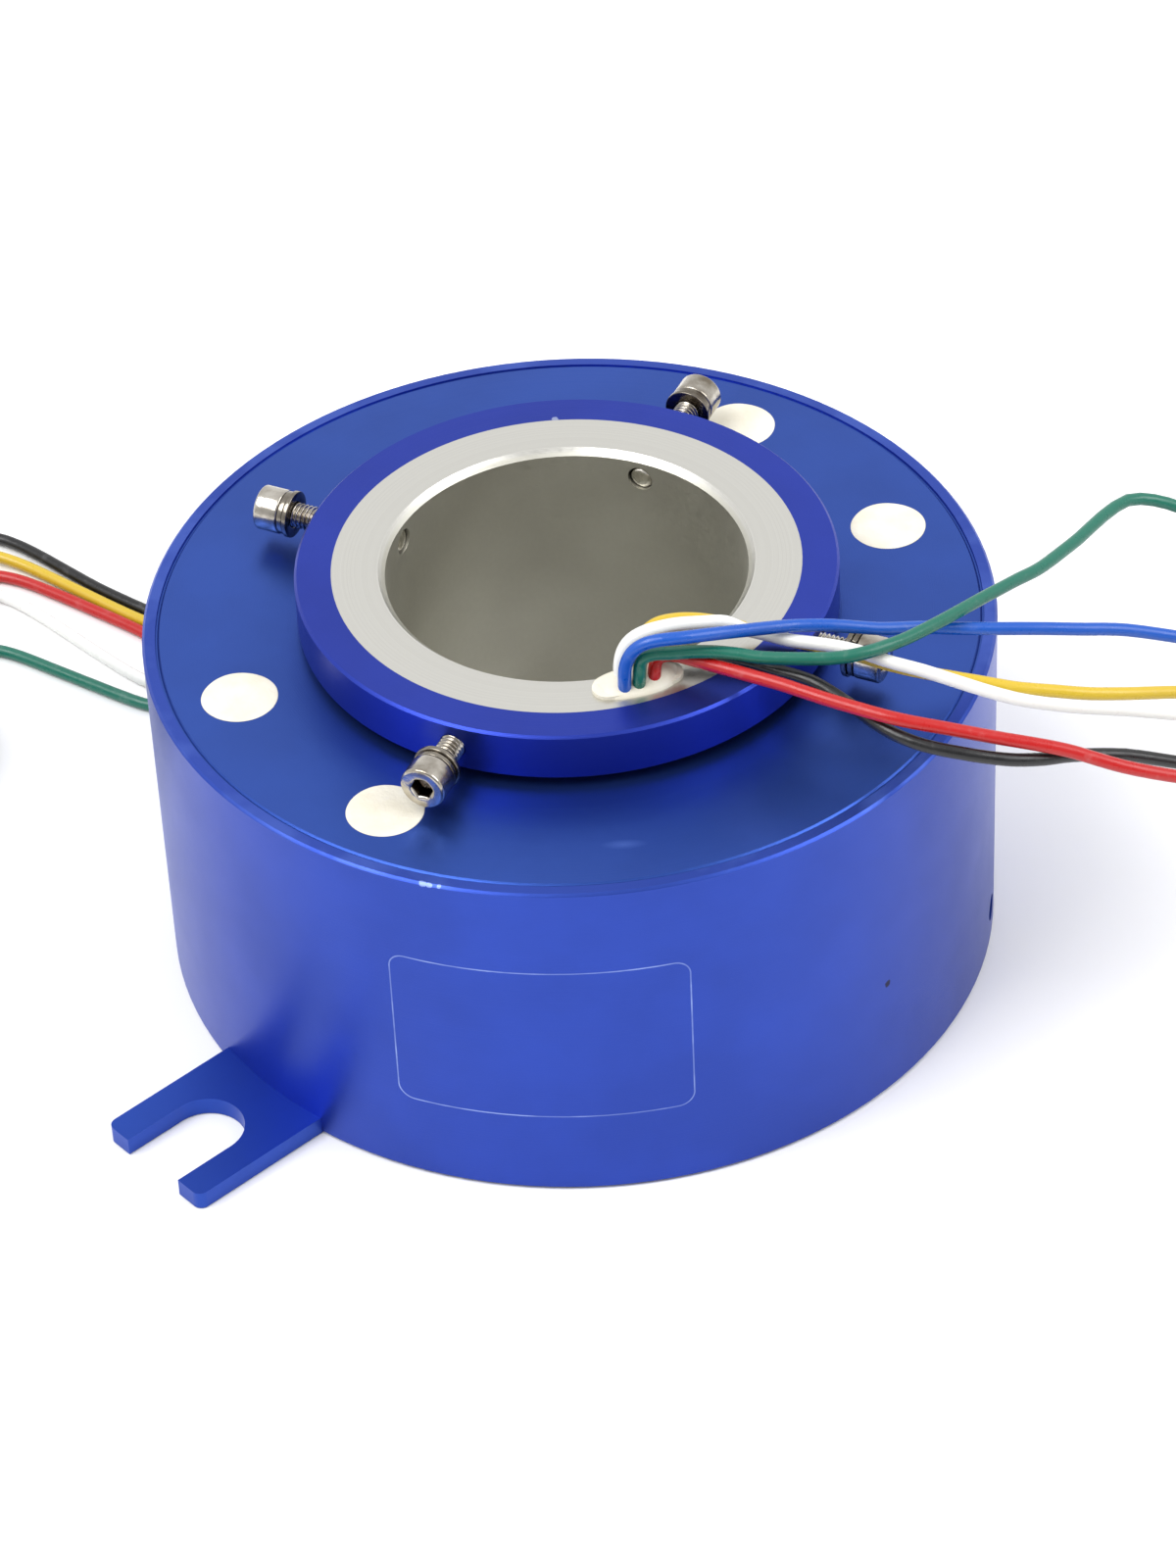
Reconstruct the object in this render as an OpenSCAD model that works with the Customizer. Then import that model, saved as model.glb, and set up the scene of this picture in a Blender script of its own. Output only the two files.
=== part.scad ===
// Through-bore slip ring: six circuits, clamped on a shaft by four radial screws.
// Z is the shaft axis, and z = 0 is the face that the housing stands on.
// Radial sizes add up outwards from the bore, so the housing grows with what it holds.

/* [Housing] */
// Height of the housing
housing_h = 59; // [54:0.5:75]
// Wall of the turned shell
shell_wall = 2; // [1.2:0.1:4]
// Chamfer on the outer edges of the shell
shell_chamfer = 0.4; // [0.2:0.1:0.8]
// Gap between the shell and the edge of the top cover
cover_gap = 0.35; // [0.2:0.05:1]
// Thickness of the top cover
top_cover_t = 6; // [5:0.1:9]
// Thickness of the plate of the bottom cover
bottom_plate_t = 5; // [4.4:0.1:8]
// Height of the rim of the bottom cover inside the shell
bottom_rim_h = 11; // [9:0.5:16]
// Thickness of the rim of the bottom cover
bottom_rim_t = 4.2; // [3:0.1:8]
// Gap between the rim of the bottom cover and the brush posts
rim_gap = 2.4; // [1:0.1:10]

/* [Rotor] */
// Bore for the shaft
bore_d = 55; // [45:0.5:70]
// Wall of the rotor tube at the bearings
tube_wall = 7.5; // [6.5:0.1:10]
// Height of the shoulder on the tube above the upper bearing
tube_shoulder = 0.6; // [0.4:0.1:1.2]
// Chamfer at the mouth of the bore
bore_chamfer = 1; // [0.5:0.1:1.5]
// Radial gap between the rotor and the top cover
rotor_gap = 0.6; // [0.4:0.1:1.2]

/* [Clamp collar] */
// Radial width of the clamp collar
collar_w = 5.6; // [4:0.1:8]
// Height of the clamp collar
collar_h = 8; // [6.5:0.1:12]
// Gap between the clamp collar and the top cover
collar_gap = 1.5; // [0.8:0.1:4]
// Chamfer on the edges of the clamp collar
collar_chamfer = 0.4; // [0.2:0.1:0.8]

/* [Clamp screws] */
// Direction of the first clamp screw, in degrees from X
clamp_angle = 64; // [56:1:72]
// Diameter of the clamp screws
clamp_d = 3.95; // [2.5:0.05:5]
// Radial clearance of a screw in its hole
clamp_clear = 0.06; // [0.03:0.01:0.1]
// Length of a clamp screw under its head
clamp_len = 20; // [17.5:0.5:30]
// Diameter of a clamp screw's head
clamp_head_d = 7; // [6:0.1:8]
// Height of a clamp screw's head
clamp_head_h = 4; // [3:0.1:6]
// Width across the flats of the socket in a clamp screw's head
clamp_socket = 3; // [2:0.1:4]
// Distance from the tip of a loosened screw to the bore
tip_back = 0.2; // [0.1:0.05:1]
// Thickness of the spring washers
spring_washer_t = 1; // [0.6:0.1:1.5]
// Outside diameter of the spring washers
spring_washer_d = 6.8; // [6.2:0.1:8]
// Thickness of the plain washers
plain_washer_t = 0.8; // [0.5:0.1:1.2]
// Outside diameter of the plain washers
plain_washer_d = 7.4; // [6.4:0.1:9]

/* [Bearings] */
// Radial section of a bearing, from its inside to its outside
bearing_section = 10; // [9:0.1:11.5]
// Width of a bearing
bearing_w = 10; // [8.5:0.1:12]
// Diameter of a bearing ball
ball_d = 6; // [5:0.1:7]
// Number of balls in a bearing
ball_count = 22; // [12:1:26]
// Gap between a ball and its grooves
ball_gap = 0.05; // [0.03:0.01:0.1]
// Height of the lower bearing above the base
bearing_z = 4; // [3.6:0.1:6]
// Lip of the top cover over the upper bearing
bearing_lip = 3; // [2:0.1:4]

/* [Slip rings] */
// Radial thickness of a conducting ring
ring_t = 8; // [7:0.1:10]
// Wall of the insulating sleeve on the tube
sleeve_t = 2; // [1:0.1:3]
// Thickness of an insulating spacer
spacer_t = 1.8; // [1:0.1:2.4]
// How far the spacers stand out past the rings
spacer_over = 2; // [1.5:0.1:3]
// Depth of the brush groove in a ring
groove_depth = 0.6; // [0.3:0.1:0.8]
// Gap between the ring stack and the bearings
stack_gap = 0.8; // [0.4:0.1:2]

/* [Brushes] */
// Direction of the middle of the first brush block
block_angle = 38; // [28:1:46]
// Radial wall of a brush block beside its posts
block_wall = 1.8; // [1.6:0.1:4]
// Gap from a block to the spacers
block_clear = 0.8; // [0.5:0.1:2]
// Height from a block to the bearing seats
block_gap = 1.2; // [0.8:0.1:3]
// Angle of a brush block past the ends of its wires
block_over = 1.5; // [1:0.5:4]
// Angle from the end of a block to the middle of its post
post_inset = 6.8; // [5:0.1:10]
// Diameter of a brush post
post_d = 6; // [5:0.1:8]
// How far the foot of a post stands out past the post
post_foot = 0.8; // [0.5:0.1:1]
// Diameter of the spigot that holds a post in the bottom cover
spigot_d = 4; // [3:0.1:5]
// Diameter of a brush wire
brush_d = 0.5; // [0.3:0.05:0.7]
// Gap between a brush wire and its groove
brush_gap = 0.02; // [0.01:0.01:0.05]

/* [Cover screws] */
// Diameter of the screws in the posts
post_screw_d = 3; // [2:0.1:3.5]
// Length of the screws in the posts
post_screw_len = 8; // [5:0.5:14]
// Diameter of the heads of those screws
post_head_d = 5.6; // [4.5:0.1:7]
// Height of the heads of those screws
post_head_h = 2; // [1.5:0.1:2.4]
// Diameter of the counterbores in the cover
seal_d = 11.4; // [8:0.1:12.6]
// Thickness of the sealing compound over a screw
seal_t = 2.4; // [1.5:0.1:2.8]

/* [Shell screws] */
// Direction of the first grub screw in the shell
grub_angle = -12; // [-25:1:0]
// Height of the grub screws above the base
grub_z = 6; // [4:0.1:8]
// Diameter of a grub screw
grub_d = 4.4; // [3:0.1:5]
// Depth of a grub screw below the shell's surface
grub_in = 1; // [0.4:0.1:1.6]

/* [Anti-rotation tab] */
// Direction of the tab
tab_angle = -139.5; // [-144:0.5:-136]
// Width of the tab
tab_w = 22; // [18:0.5:25]
// Thickness of the tab
tab_t = 3; // [2:0.1:3.6]
// Length of the tab outside the housing
tab_out = 23; // [18:0.5:50]
// Gap between the inner end of the tab and the bearing seat
tab_root_gap = 1; // [0.5:0.1:4]
// Width of the slot in the tab
slot_w = 12; // [6:0.5:15]
// Distance from the housing to the closed end of the slot
slot_out = 6.7; // [2:0.1:10]
// Radius of the tab's corners
tab_corner = 1.5; // [0.5:0.1:1.8]
// Diameter of the screws that hold the tab
tab_screw_d = 3; // [2:0.1:3.5]
// Distance between the two screws that hold the tab
tab_screw_pitch = 9; // [8:0.5:13]

/* [Lead outlets] */
// Angle over which the wire channel in the rotor runs
channel_sweep = 17; // [8:1:26]
// Direction of the middle of the wire channel
channel_angle = -72; // [-85:1:-55]
// Wall between the bore and the wire channel
channel_wall = 1.4; // [1:0.1:2.5]
// Wall between the wire channel and the outside of the tube
channel_skin = 1.3; // [0.8:0.1:2.5]
// Height of the sealing compound over the end of the rotor
channel_crown = 0.6; // [0.2:0.1:1.5]
// Direction of the outlet in the shell
outlet_angle = 136; // [115:1:150]
// Height of the outlet above the base
outlet_z = 11; // [10:0.5:30]
// Diameter of the outlet
outlet_d = 9.4; // [7:0.1:11]
// How far the sealing compound stands out of the outlet
outlet_proud = 0.6; // [0.2:0.1:2]

/* [Leads] */
// Diameter of a lead
lead_d = 2; // [1.6:0.1:2]
// Spacing of the turns in a coil of leads
coil_pitch = 2.2; // [2:0.05:2.5]
// Mean diameter of a coil of leads
coil_d = 24; // [22:0.5:26]

/* [Hidden] */
$fn = 96;
eps = 0.01;
cut = 1;
edge = 0.3;
hex = 2 / sqrt(3);

bore_r = bore_d / 2;
tube_r = bore_r + tube_wall;
head_r = tube_r + tube_shoulder;
collar_r = head_r + collar_w;
collar_z = housing_h + collar_gap;
rotor_h = collar_z + collar_h;

bearing_r = tube_r + bearing_section;
upper_z = housing_h - bearing_lip - bearing_w;
pitch_r = tube_r + bearing_section / 2;
ball_r = ball_d / 2;
race_r = ball_r + ball_gap;
race_bite = 1.5;
ball_turn = 4;
race_in = pitch_r - ball_r + race_bite;
race_out = pitch_r + ball_r - race_bite;
cage_gap = 0.7;
cage_w = ball_d + 1;
lip_r = race_out - 1;
lip_relief = 0.5;
clip_t = 1.8;
clip_depth = 1.4;
clip_w = 3;
clip_mouth = 8;
clip_angle = 128;

ring_count = 6;
sleeve_r = tube_r + sleeve_t;
ring_r = sleeve_r + ring_t;
spacer_r = ring_r + spacer_over;
stack_z = bearing_z + bearing_w + stack_gap;
stack_h = upper_z - stack_gap - stack_z;
ring_w = (stack_h - (ring_count + 1) * spacer_t) / ring_count;
ring_pitch = ring_w + spacer_t;
groove_flat = 0.4;

block_in = spacer_r + block_clear;
post_r = block_in + block_wall + post_d / 2;
block_out = post_r + post_d / 2 + block_wall;
block_z = bearing_z + bearing_w + block_gap;
block_h = upper_z - block_gap - block_z;
brush_r = ring_r - groove_depth + brush_gap + brush_d / 2;
brush_root = 1.4;
brush_sweep = acos(brush_r / (block_in + brush_root));
brush_half = brush_r * tan(brush_sweep);
block_half = brush_sweep + block_over;
post_spread = block_half - post_inset;
foot_r = post_d / 2 + post_foot;
hub_gap = 0.4;
hub_r = post_r - foot_r - hub_gap;

rim_in = post_r + foot_r + rim_gap;
shell_in_r = rim_in + bottom_rim_t;
housing_r = shell_in_r + shell_wall;
cover_r = shell_in_r - cover_gap;
top_cover_z = housing_h - top_cover_t;
seal_floor = housing_h - seal_t - post_head_h;
spigot_z = 1.5;

clamp_count = 4;
clamp_z = collar_z + collar_h / 2;
clamp_tip_r = bore_r + tip_back;
clamp_seat_r = clamp_tip_r + clamp_len;
clamp_hole_d = clamp_d + 2 * clamp_clear;
washer_split = 0.6;

channel_w = tube_wall - channel_wall - channel_skin;
channel_mid = bore_r + channel_wall + channel_w / 2;
channel_low = stack_z + 1;
window_h = stack_h - 2;
window_sweep = channel_sweep - 2;
arc_steps = 12;

outlet_in = rim_in - 1;
outlet_out = housing_r + outlet_proud;
grub_r = rim_in + 0.2;
grub_out = housing_r - grub_in;
tab_root = bearing_r + tab_root_gap;
tab_tip = housing_r + tab_out;
slot_end = housing_r + slot_out;
tab_grip_r = (tab_root + cover_r) / 2;
tab_head_h = tab_screw_d / 2;
tab_screw_len = bottom_plate_t - 0.5;

block_angles = [block_angle, block_angle + 180];
post_angles = [for (a = block_angles, side = [-1, 1]) a + side * post_spread];
grub_angles = [grub_angle, grub_angle + 180];
clamp_angles = [for (i = [0:clamp_count - 1]) clamp_angle + i * 360 / clamp_count];

lead_sides = 8;
coil_r = coil_d / 2;
coil_half = 1.5 * coil_pitch;
rotor_coil_at = [175, -32.2];
rotor_coil_layers = 4;
stator_coil_at = [-116, 40];
stator_coil_layers = 6;
blue_coil_at = [-18, 89.3];
blue_coil_in = 6.5;
blue_coil_out = 16.4;

// Points along the blue rotor lead, from the wire channel to its coil
rotor_blue_route = [
    [7.5, -31.5, 68], [7.5, -31.5, 71], [8, -30.9, 73.5], [9.8, -30, 75.5], [13.5, -29.5, 76.5],
    [16.4, -29.3, 76.7], [21.4, -28.3, 75.9], [25.5, -26.3, 74.7], [32, -24.5, 73.6], [38.5, -23.5, 72.5],
    [45.5, -22.5, 70.6], [52, -20.5, 68.8], [57, -20, 67.9], [63.5, -19.5, 67], [69.5, -19, 66.2],
    [76.5, -18, 64.8], [83, -16.5, 63], [92, -15.5, 60], [101, -15, 57], [110, -15, 53], [119, -15.5, 48.5],
    [126, -16.5, 42.8], [132, -17.5, 36.4], [138, -18, 29], [144, -18, 21], [149, -18, 14], [154, -18, 8.2],
    [159, -18, 4.6], [164, -18, 3.2], [169.3, -18, 3.2]
];
// Points along the green rotor lead, from the wire channel to its coil
rotor_green_route = [
    [10.2, -31, 68], [10.3, -31.2, 71], [11, -30.6, 73], [13.8, -30, 74.1], [18, -29.2, 74.4],
    [23, -29.8, 73.8], [27.5, -30.5, 73.3], [32.5, -31.5, 73.1], [37.5, -32, 73.2], [42.5, -31.3, 73.3],
    [46, -29.6, 73], [49.5, -27, 72.3], [55, -22, 71.2], [61, -15.8, 69.7], [67.5, -9.2, 68],
    [71.5, -5, 66.8], [78, 3.5, 65.2], [86.5, 14.5, 63.3], [95, 15.5, 60.5], [103, 13, 56.5],
    [111, 8, 51.3], [119, 1, 45], [126, -7, 38.5], [132, -13, 32], [138, -16.5, 24.5], [143.5, -17.8, 17],
    [148.5, -18, 10], [153, -18, 4.6], [158, -18, 1.6], [163, -18, 1], [169.3, -18, 1]
];
// Points along the red rotor lead, from the wire channel to its coil
rotor_red_route = [
    [13.1, -29.7, 68], [13.1, -30, 70], [13.7, -30.5, 71.4], [15.4, -30.6, 72.1], [18, -31, 72.2],
    [20.5, -31.6, 72.3], [23, -32.4, 72.4], [26, -33.8, 72.5], [29.5, -35.8, 72.3], [33, -37.8, 72.2],
    [37, -40, 72], [41, -42, 71.8], [45, -44, 71.7], [49, -45, 71.1], [53, -45.5, 70.3], [61, -46.3, 68.5],
    [67, -46.8, 67.2], [72, -47.2, 65.8], [79, -48, 63.3], [88, -47.3, 60], [97, -45, 56.5],
    [106, -41, 52.5], [115, -36, 48.5], [123, -30.5, 44.5], [130, -25.8, 38.8], [136, -23, 31.8],
    [142, -22.4, 24], [147.5, -22.4, 16], [152.5, -22.4, 9.8], [157.5, -22.4, 5.4], [163.2, -22.4, 3.2]
];
// Points along the white rotor lead, from the wire channel to its coil
rotor_white_route = [
    [6.8, -29.5, 68], [6.6, -28.5, 71.5], [6.8, -28.2, 74.6], [8.2, -28.6, 77.1], [10.4, -28.6, 78.4],
    [12.9, -27.9, 78.1], [15.9, -26.2, 76.6], [20.5, -24.3, 74.6], [25.5, -23.5, 72.7], [29, -23.8, 71.6],
    [32, -24.9, 71.3], [37.5, -26.6, 71.4], [42, -28.2, 71.2], [46, -30.3, 70.8], [51.5, -32.4, 70.2],
    [56.5, -34.2, 69.2], [64.5, -36.4, 67.4], [73, -36.5, 65.4], [81, -35, 63], [92, -33, 59.5],
    [101, -30, 56.5], [110, -27, 53], [119, -24, 48.7], [126, -21.8, 43], [132, -20.6, 36.6],
    [138, -20.2, 29], [144, -20.2, 21], [149, -20.2, 14], [154, -20.2, 8.2], [159, -20.2, 4.6],
    [165.5, -20.2, 3.2]
];
// Points along the yellow rotor lead, from the wire channel to its coil
rotor_yellow_route = [
    [9.3, -28.7, 68], [9.2, -28.3, 71.9], [9.6, -27.6, 75.7], [10.9, -26.4, 77.5], [13.4, -25.3, 77],
    [16.9, -23.3, 74.7], [21, -22, 72.8], [25.5, -21.6, 71.2], [29, -22, 70.2], [32, -23.2, 69.9],
    [37.5, -24.8, 69.5], [42, -26.8, 69.3], [46.5, -29, 69], [51.5, -30.6, 68.5], [59.5, -32.2, 67.5],
    [65, -33, 66.6], [70.5, -32.8, 65.5], [76, -32.3, 64.2], [83, -30.5, 62.3], [92, -27, 59],
    [101, -25, 55.5], [110, -23, 51], [119, -21.5, 45], [126, -20.5, 38.5], [132, -20.2, 32],
    [138, -20.2, 24.5], [143.5, -20.2, 17], [148.5, -20.2, 10], [153, -20.2, 4.6], [158, -20.2, 1.6],
    [165.5, -20.2, 1]
];
// Points along the black rotor lead, from the wire channel to its coil
rotor_black_route = [
    [11.9, -27.9, 68], [11.8, -27.5, 69.6], [12.6, -27, 70.7], [14.5, -26.8, 71], [19, -27, 70.6],
    [24.5, -28.2, 70.3], [29.5, -30, 70], [35, -33, 69.8], [40, -38.2, 69.5], [45, -44.2, 69.3],
    [50, -47, 68.5], [55.5, -48.2, 67.6], [59.5, -48.3, 66.6], [63.5, -48, 65.6], [68, -46.8, 64.5],
    [72, -45.2, 63.5], [80, -42.8, 61], [88, -41, 57.5], [97, -38.5, 53.5], [106, -35, 49],
    [115, -30, 43.5], [123, -26, 37.8], [130, -23.5, 31.3], [136, -22.6, 24.8], [142, -22.4, 17.6],
    [147.5, -22.4, 10.5], [152.5, -22.4, 4.8], [158, -22.4, 1.6], [163.2, -22.4, 1]
];
// Points along the blue stator lead, from the outlet to its coil
stator_blue_route = [
    [-45.4, 47.4, 9.7], [-47.6, 49.8, 9.7], [-49.2, 53, 9], [-49.2, 57.2, 7], [-47.5, 61.5, 4.2],
    [-44.5, 65.8, 1.9], [-40.5, 69.5, 1], [-35, 72.5, 1], [-28, 74, 1], [-24.5, 74, 1]
];
// Points along the green stator lead, from the outlet to its coil
stator_green_route = [
    [-49, 43.7, 9.7], [-52, 46.5, 9.5], [-55.5, 48.6, 7.5], [-59, 50.2, 4.6], [-62.8, 51.4, 2],
    [-67, 52.3, 1], [-71.5, 53.3, 1], [-79.5, 58.5, 1], [-87.5, 64, 1], [-94, 68.3, 1], [-98.8, 69.8, 1],
    [-101.3, 67.5, 1], [-101.8, 63, 1], [-101.8, 54, 1], [-101.8, 45.7, 1]
];
// Points along the red stator lead, from the outlet to its coil
stator_red_route = [
    [-47.2, 45.6, 9.7], [-50, 48.3, 9.4], [-53.5, 52, 7.2], [-57.5, 56.6, 4.2], [-61.5, 61.2, 1.9],
    [-66, 66.4, 1], [-72.8, 72.8, 1], [-80.5, 78.8, 1], [-88.3, 84.6, 1], [-94, 88.3, 1], [-99, 89.8, 1],
    [-102.8, 87.8, 1], [-104, 83.5, 1], [-104, 70, 1], [-104, 49.5, 1]
];
// Points along the white stator lead, from the outlet to its coil
stator_white_route = [
    [-49, 43.7, 12.3], [-52, 46.6, 12.3], [-55.5, 49.8, 11], [-59.5, 52.8, 8], [-63.5, 55.3, 4.4],
    [-67.5, 57.3, 1.8], [-72, 59.8, 1], [-80, 67.8, 1], [-87.8, 76.2, 1], [-93.5, 81.8, 1],
    [-97.8, 84.3, 1.2], [-100.8, 83, 1.8], [-101.8, 79, 2.8], [-101.8, 73, 3.2], [-101.8, 60, 3.2],
    [-101.8, 45.7, 3.2]
];
// Points along the yellow stator lead, from the outlet to its coil
stator_yellow_route = [
    [-47.2, 45.6, 12.3], [-50, 48.3, 12.3], [-53.5, 52.2, 10.8], [-57, 57.4, 8], [-60.6, 63.4, 4.8],
    [-64.6, 69, 2.2], [-73, 75.9, 1], [-80.7, 82.1, 1], [-88.3, 88.4, 1], [-94, 92.6, 1.2],
    [-99.5, 94.8, 1.8], [-103, 92.8, 2.8], [-104, 88.5, 3.2], [-104, 70, 3.2], [-104, 49.5, 3.2]
];
// Points along the black stator lead, from the outlet to its coil
stator_black_route = [
    [-45.4, 47.4, 12.3], [-48, 50.1, 12.3], [-51, 54.2, 11], [-54.8, 59.8, 8], [-59, 66, 4.5],
    [-63.5, 71.6, 1.8], [-68, 75.4, 1], [-72.6, 78.8, 1], [-80.5, 85.2, 1], [-88.5, 92.8, 1],
    [-95, 98.4, 1], [-100.5, 100.8, 1], [-104.8, 98.4, 1], [-106.2, 93.5, 1], [-106.2, 75, 1],
    [-106.2, 51.8, 1]
];

blue_alloy = [0.16, 0.25, 0.62];
bare_alloy = [0.8, 0.79, 0.76];
steel = [0.72, 0.71, 0.69];
resin = [0.96, 0.95, 0.9];
plastic = [0.14, 0.15, 0.16];
silver_alloy = [0.86, 0.78, 0.55];

// A turned piece, from the points of its profile as [radius, height]
module turned(profile) {
    rotate_extrude($fn = 180) polygon(profile);
}

module ring(inner, outer, low, high) {
    translate([0, 0, low]) difference() {
        cylinder(r = outer, h = high - low);
        translate([0, 0, -cut]) cylinder(r = inner, h = high - low + 2 * cut);
    }
}

// A ring with a chamfer on both outer edges
module edged_ring(inner, outer, low, high, chamfer) {
    turned([
        [inner, low], [outer - chamfer, low], [outer, low + chamfer],
        [outer, high - chamfer], [outer - chamfer, high], [inner, high]
    ]);
}

// A straight round rod or hole along Z
module rod(diameter, low, high, sides = 32) {
    translate([0, 0, low]) cylinder(d = diameter, h = high - low, $fn = sides);
}

// Lays its children along a radius, so that their own Z points away from the axis
module radial(angle, height) {
    rotate([0, 0, angle]) translate([0, 0, height]) rotate([0, 90, 0]) children();
}

// Stands its children upright at a radius
module upright(angle, radius) {
    rotate([0, 0, angle]) translate([radius, 0, 0]) children();
}

// --- Rotor ---

function arc(centre, radius, from, to, skip = 0) =
    [for (i = [skip:arc_steps - skip]) let (t = from + (to - from) * i / arc_steps)
        centre + radius * [cos(t), sin(t)]];

// The kidney-shaped channel in the wall of the tube that the rotor's leads run through
module wire_channel(top) {
    low = channel_angle - channel_sweep / 2;
    high = channel_angle + channel_sweep / 2;
    end = channel_w / 2;
    translate([0, 0, channel_low]) linear_extrude(top - channel_low) polygon(concat(
        arc([0, 0], channel_mid + end, low, high),
        arc(channel_mid * [cos(high), sin(high)], end, high, high + 180, 1),
        arc([0, 0], channel_mid - end, high, low),
        arc(channel_mid * [cos(low), sin(low)], end, low + 180, low + 360, 1)
    ));
}

// Lets the leads out of the channel to the rings
module ring_window() {
    translate([0, 0, channel_low]) rotate([0, 0, channel_angle - window_sweep / 2])
        rotate_extrude(angle = window_sweep, $fn = 180)
            translate([channel_mid, 0]) square([tube_r - channel_mid, window_h]);
}

module rotor_tube() {
    bearing_top = upper_z + bearing_w;
    clip_z = bearing_z - clip_t;
    color(bare_alloy) difference() {
        turned([
            [bore_r, 0], [tube_r - edge, 0], [tube_r, edge],
            [tube_r, clip_z], [tube_r - clip_depth, clip_z], [tube_r - clip_depth, bearing_z],
            [tube_r, bearing_z], [tube_r, bearing_top], [head_r, bearing_top], [head_r, rotor_h],
            [bore_r + bore_chamfer, rotor_h], [bore_r, rotor_h - bore_chamfer]
        ]);
        wire_channel(rotor_h + cut);
        ring_window();
        for (a = clamp_angles) radial(a, clamp_z) rod(clamp_hole_d, bore_r - cut, head_r + cut);
    }
}

module rotor_potting() {
    color(resin) {
        wire_channel(rotor_h + channel_crown);
        ring_window();
    }
}

module clamp_collar() {
    color(blue_alloy) difference() {
        edged_ring(head_r, collar_r, collar_z, rotor_h, collar_chamfer);
        for (a = clamp_angles) radial(a, clamp_z) rod(clamp_hole_d, head_r - cut, collar_r + cut);
    }
}

module ring_sleeve() {
    color(plastic) ring(tube_r, sleeve_r, bearing_z + bearing_w, upper_z);
}

module ring_spacers() {
    color(plastic) for (i = [0:ring_count])
        translate([0, 0, stack_z + i * ring_pitch]) edged_ring(sleeve_r, spacer_r, 0, spacer_t, edge);
}

function ring_z(i) = stack_z + spacer_t + ring_w / 2 + i * ring_pitch;

module slip_ring(i) {
    floor_r = ring_r - groove_depth;
    lip_z = groove_flat / 2 + groove_depth;
    color(silver_alloy) translate([0, 0, ring_z(i)]) turned([
        [sleeve_r, -ring_w / 2], [ring_r, -ring_w / 2], [ring_r, -lip_z], [floor_r, -groove_flat / 2],
        [floor_r, groove_flat / 2], [ring_r, lip_z], [ring_r, ring_w / 2], [sleeve_r, ring_w / 2]
    ]);
}

module retaining_ring() {
    inner = tube_r - clip_depth;
    color(steel) difference() {
        ring(inner, inner + clip_w, bearing_z - clip_t, bearing_z);
        rotate([0, 0, clip_angle]) translate([0, -clip_mouth / 2, 0])
            cube([tube_r + clip_w, clip_mouth, bearing_z + cut]);
    }
}

// --- Bearings ---

// The groove that the balls of a bearing run in
module ball_track(z) {
    translate([0, 0, z + bearing_w / 2]) rotate_extrude($fn = 180)
        translate([pitch_r, 0]) circle(r = race_r, $fn = 48);
}

module race(inner, outer, z) {
    color(steel) difference() {
        ring(inner, outer, z, z + bearing_w, $fn = 180);
        ball_track(z);
    }
}

module balls(z) {
    color(steel) translate([0, 0, z + bearing_w / 2]) for (i = [0:ball_count - 1])
        upright(ball_turn + i * 360 / ball_count, pitch_r) sphere(r = ball_r, $fn = 32);
}

module cage(z) {
    low = z + (bearing_w - cage_w) / 2;
    color("darkgoldenrod") difference() {
        ring(race_in + cage_gap, race_out - cage_gap, low, low + cage_w);
        for (i = [0:ball_count - 1])
            radial(ball_turn + i * 360 / ball_count, z + bearing_w / 2) rod(2 * race_r, race_in, race_out, 48);
    }
}

// --- Clamp screws ---

module clamp_screw(i) {
    shank = clamp_d / 2;
    head = clamp_head_d / 2;
    end = clamp_seat_r + clamp_head_h;
    color(steel) radial(clamp_angles[i], clamp_z) difference() {
        rotate_extrude($fn = 64) polygon([
            [0, clamp_tip_r], [shank - edge, clamp_tip_r], [shank, clamp_tip_r + edge],
            [shank, clamp_seat_r], [head, clamp_seat_r], [head, end - edge], [head - edge, end], [0, end]
        ]);
        rod(clamp_socket * hex, end - clamp_head_h / 2, end + cut, 6);
    }
}

module spring_washer(i) {
    low = clamp_seat_r - spring_washer_t;
    color(steel) radial(clamp_angles[i], clamp_z) difference() {
        ring(clamp_d / 2, spring_washer_d / 2, low, clamp_seat_r, $fn = 64);
        translate([0, -washer_split / 2, low - cut])
            cube([spring_washer_d, washer_split, spring_washer_t + 2 * cut]);
    }
}

module plain_washer(i) {
    high = clamp_seat_r - spring_washer_t;
    color(steel) radial(clamp_angles[i], clamp_z)
        ring(clamp_d / 2, plain_washer_d / 2, high - plain_washer_t, high, $fn = 64);
}

// --- Housing ---

module housing_shell() {
    color(blue_alloy) difference() {
        edged_ring(shell_in_r, housing_r, 0, housing_h, shell_chamfer);
        tab_pocket();
        for (a = grub_angles) radial(a, grub_z) rod(grub_d, shell_in_r - cut, housing_r + cut);
        radial(outlet_angle, outlet_z) rod(outlet_d, shell_in_r - cut, housing_r + cut, 64);
    }
}

module top_cover() {
    hole_r = head_r + rotor_gap;
    bearing_top = upper_z + bearing_w;
    color(blue_alloy) difference() {
        turned([
            [hole_r, housing_h], [hole_r, bearing_top + lip_relief], [lip_r, bearing_top + lip_relief],
            [lip_r, bearing_top], [bearing_r, bearing_top], [bearing_r, upper_z], [hub_r, upper_z],
            [hub_r, top_cover_z], [cover_r, top_cover_z],
            [cover_r, housing_h - edge], [cover_r - edge, housing_h]
        ]);
        for (a = post_angles) upright(a, post_r) {
            rod(seal_d, seal_floor, housing_h + cut, 64);
            rod(post_screw_d, 0, housing_h);
        }
    }
}

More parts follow.
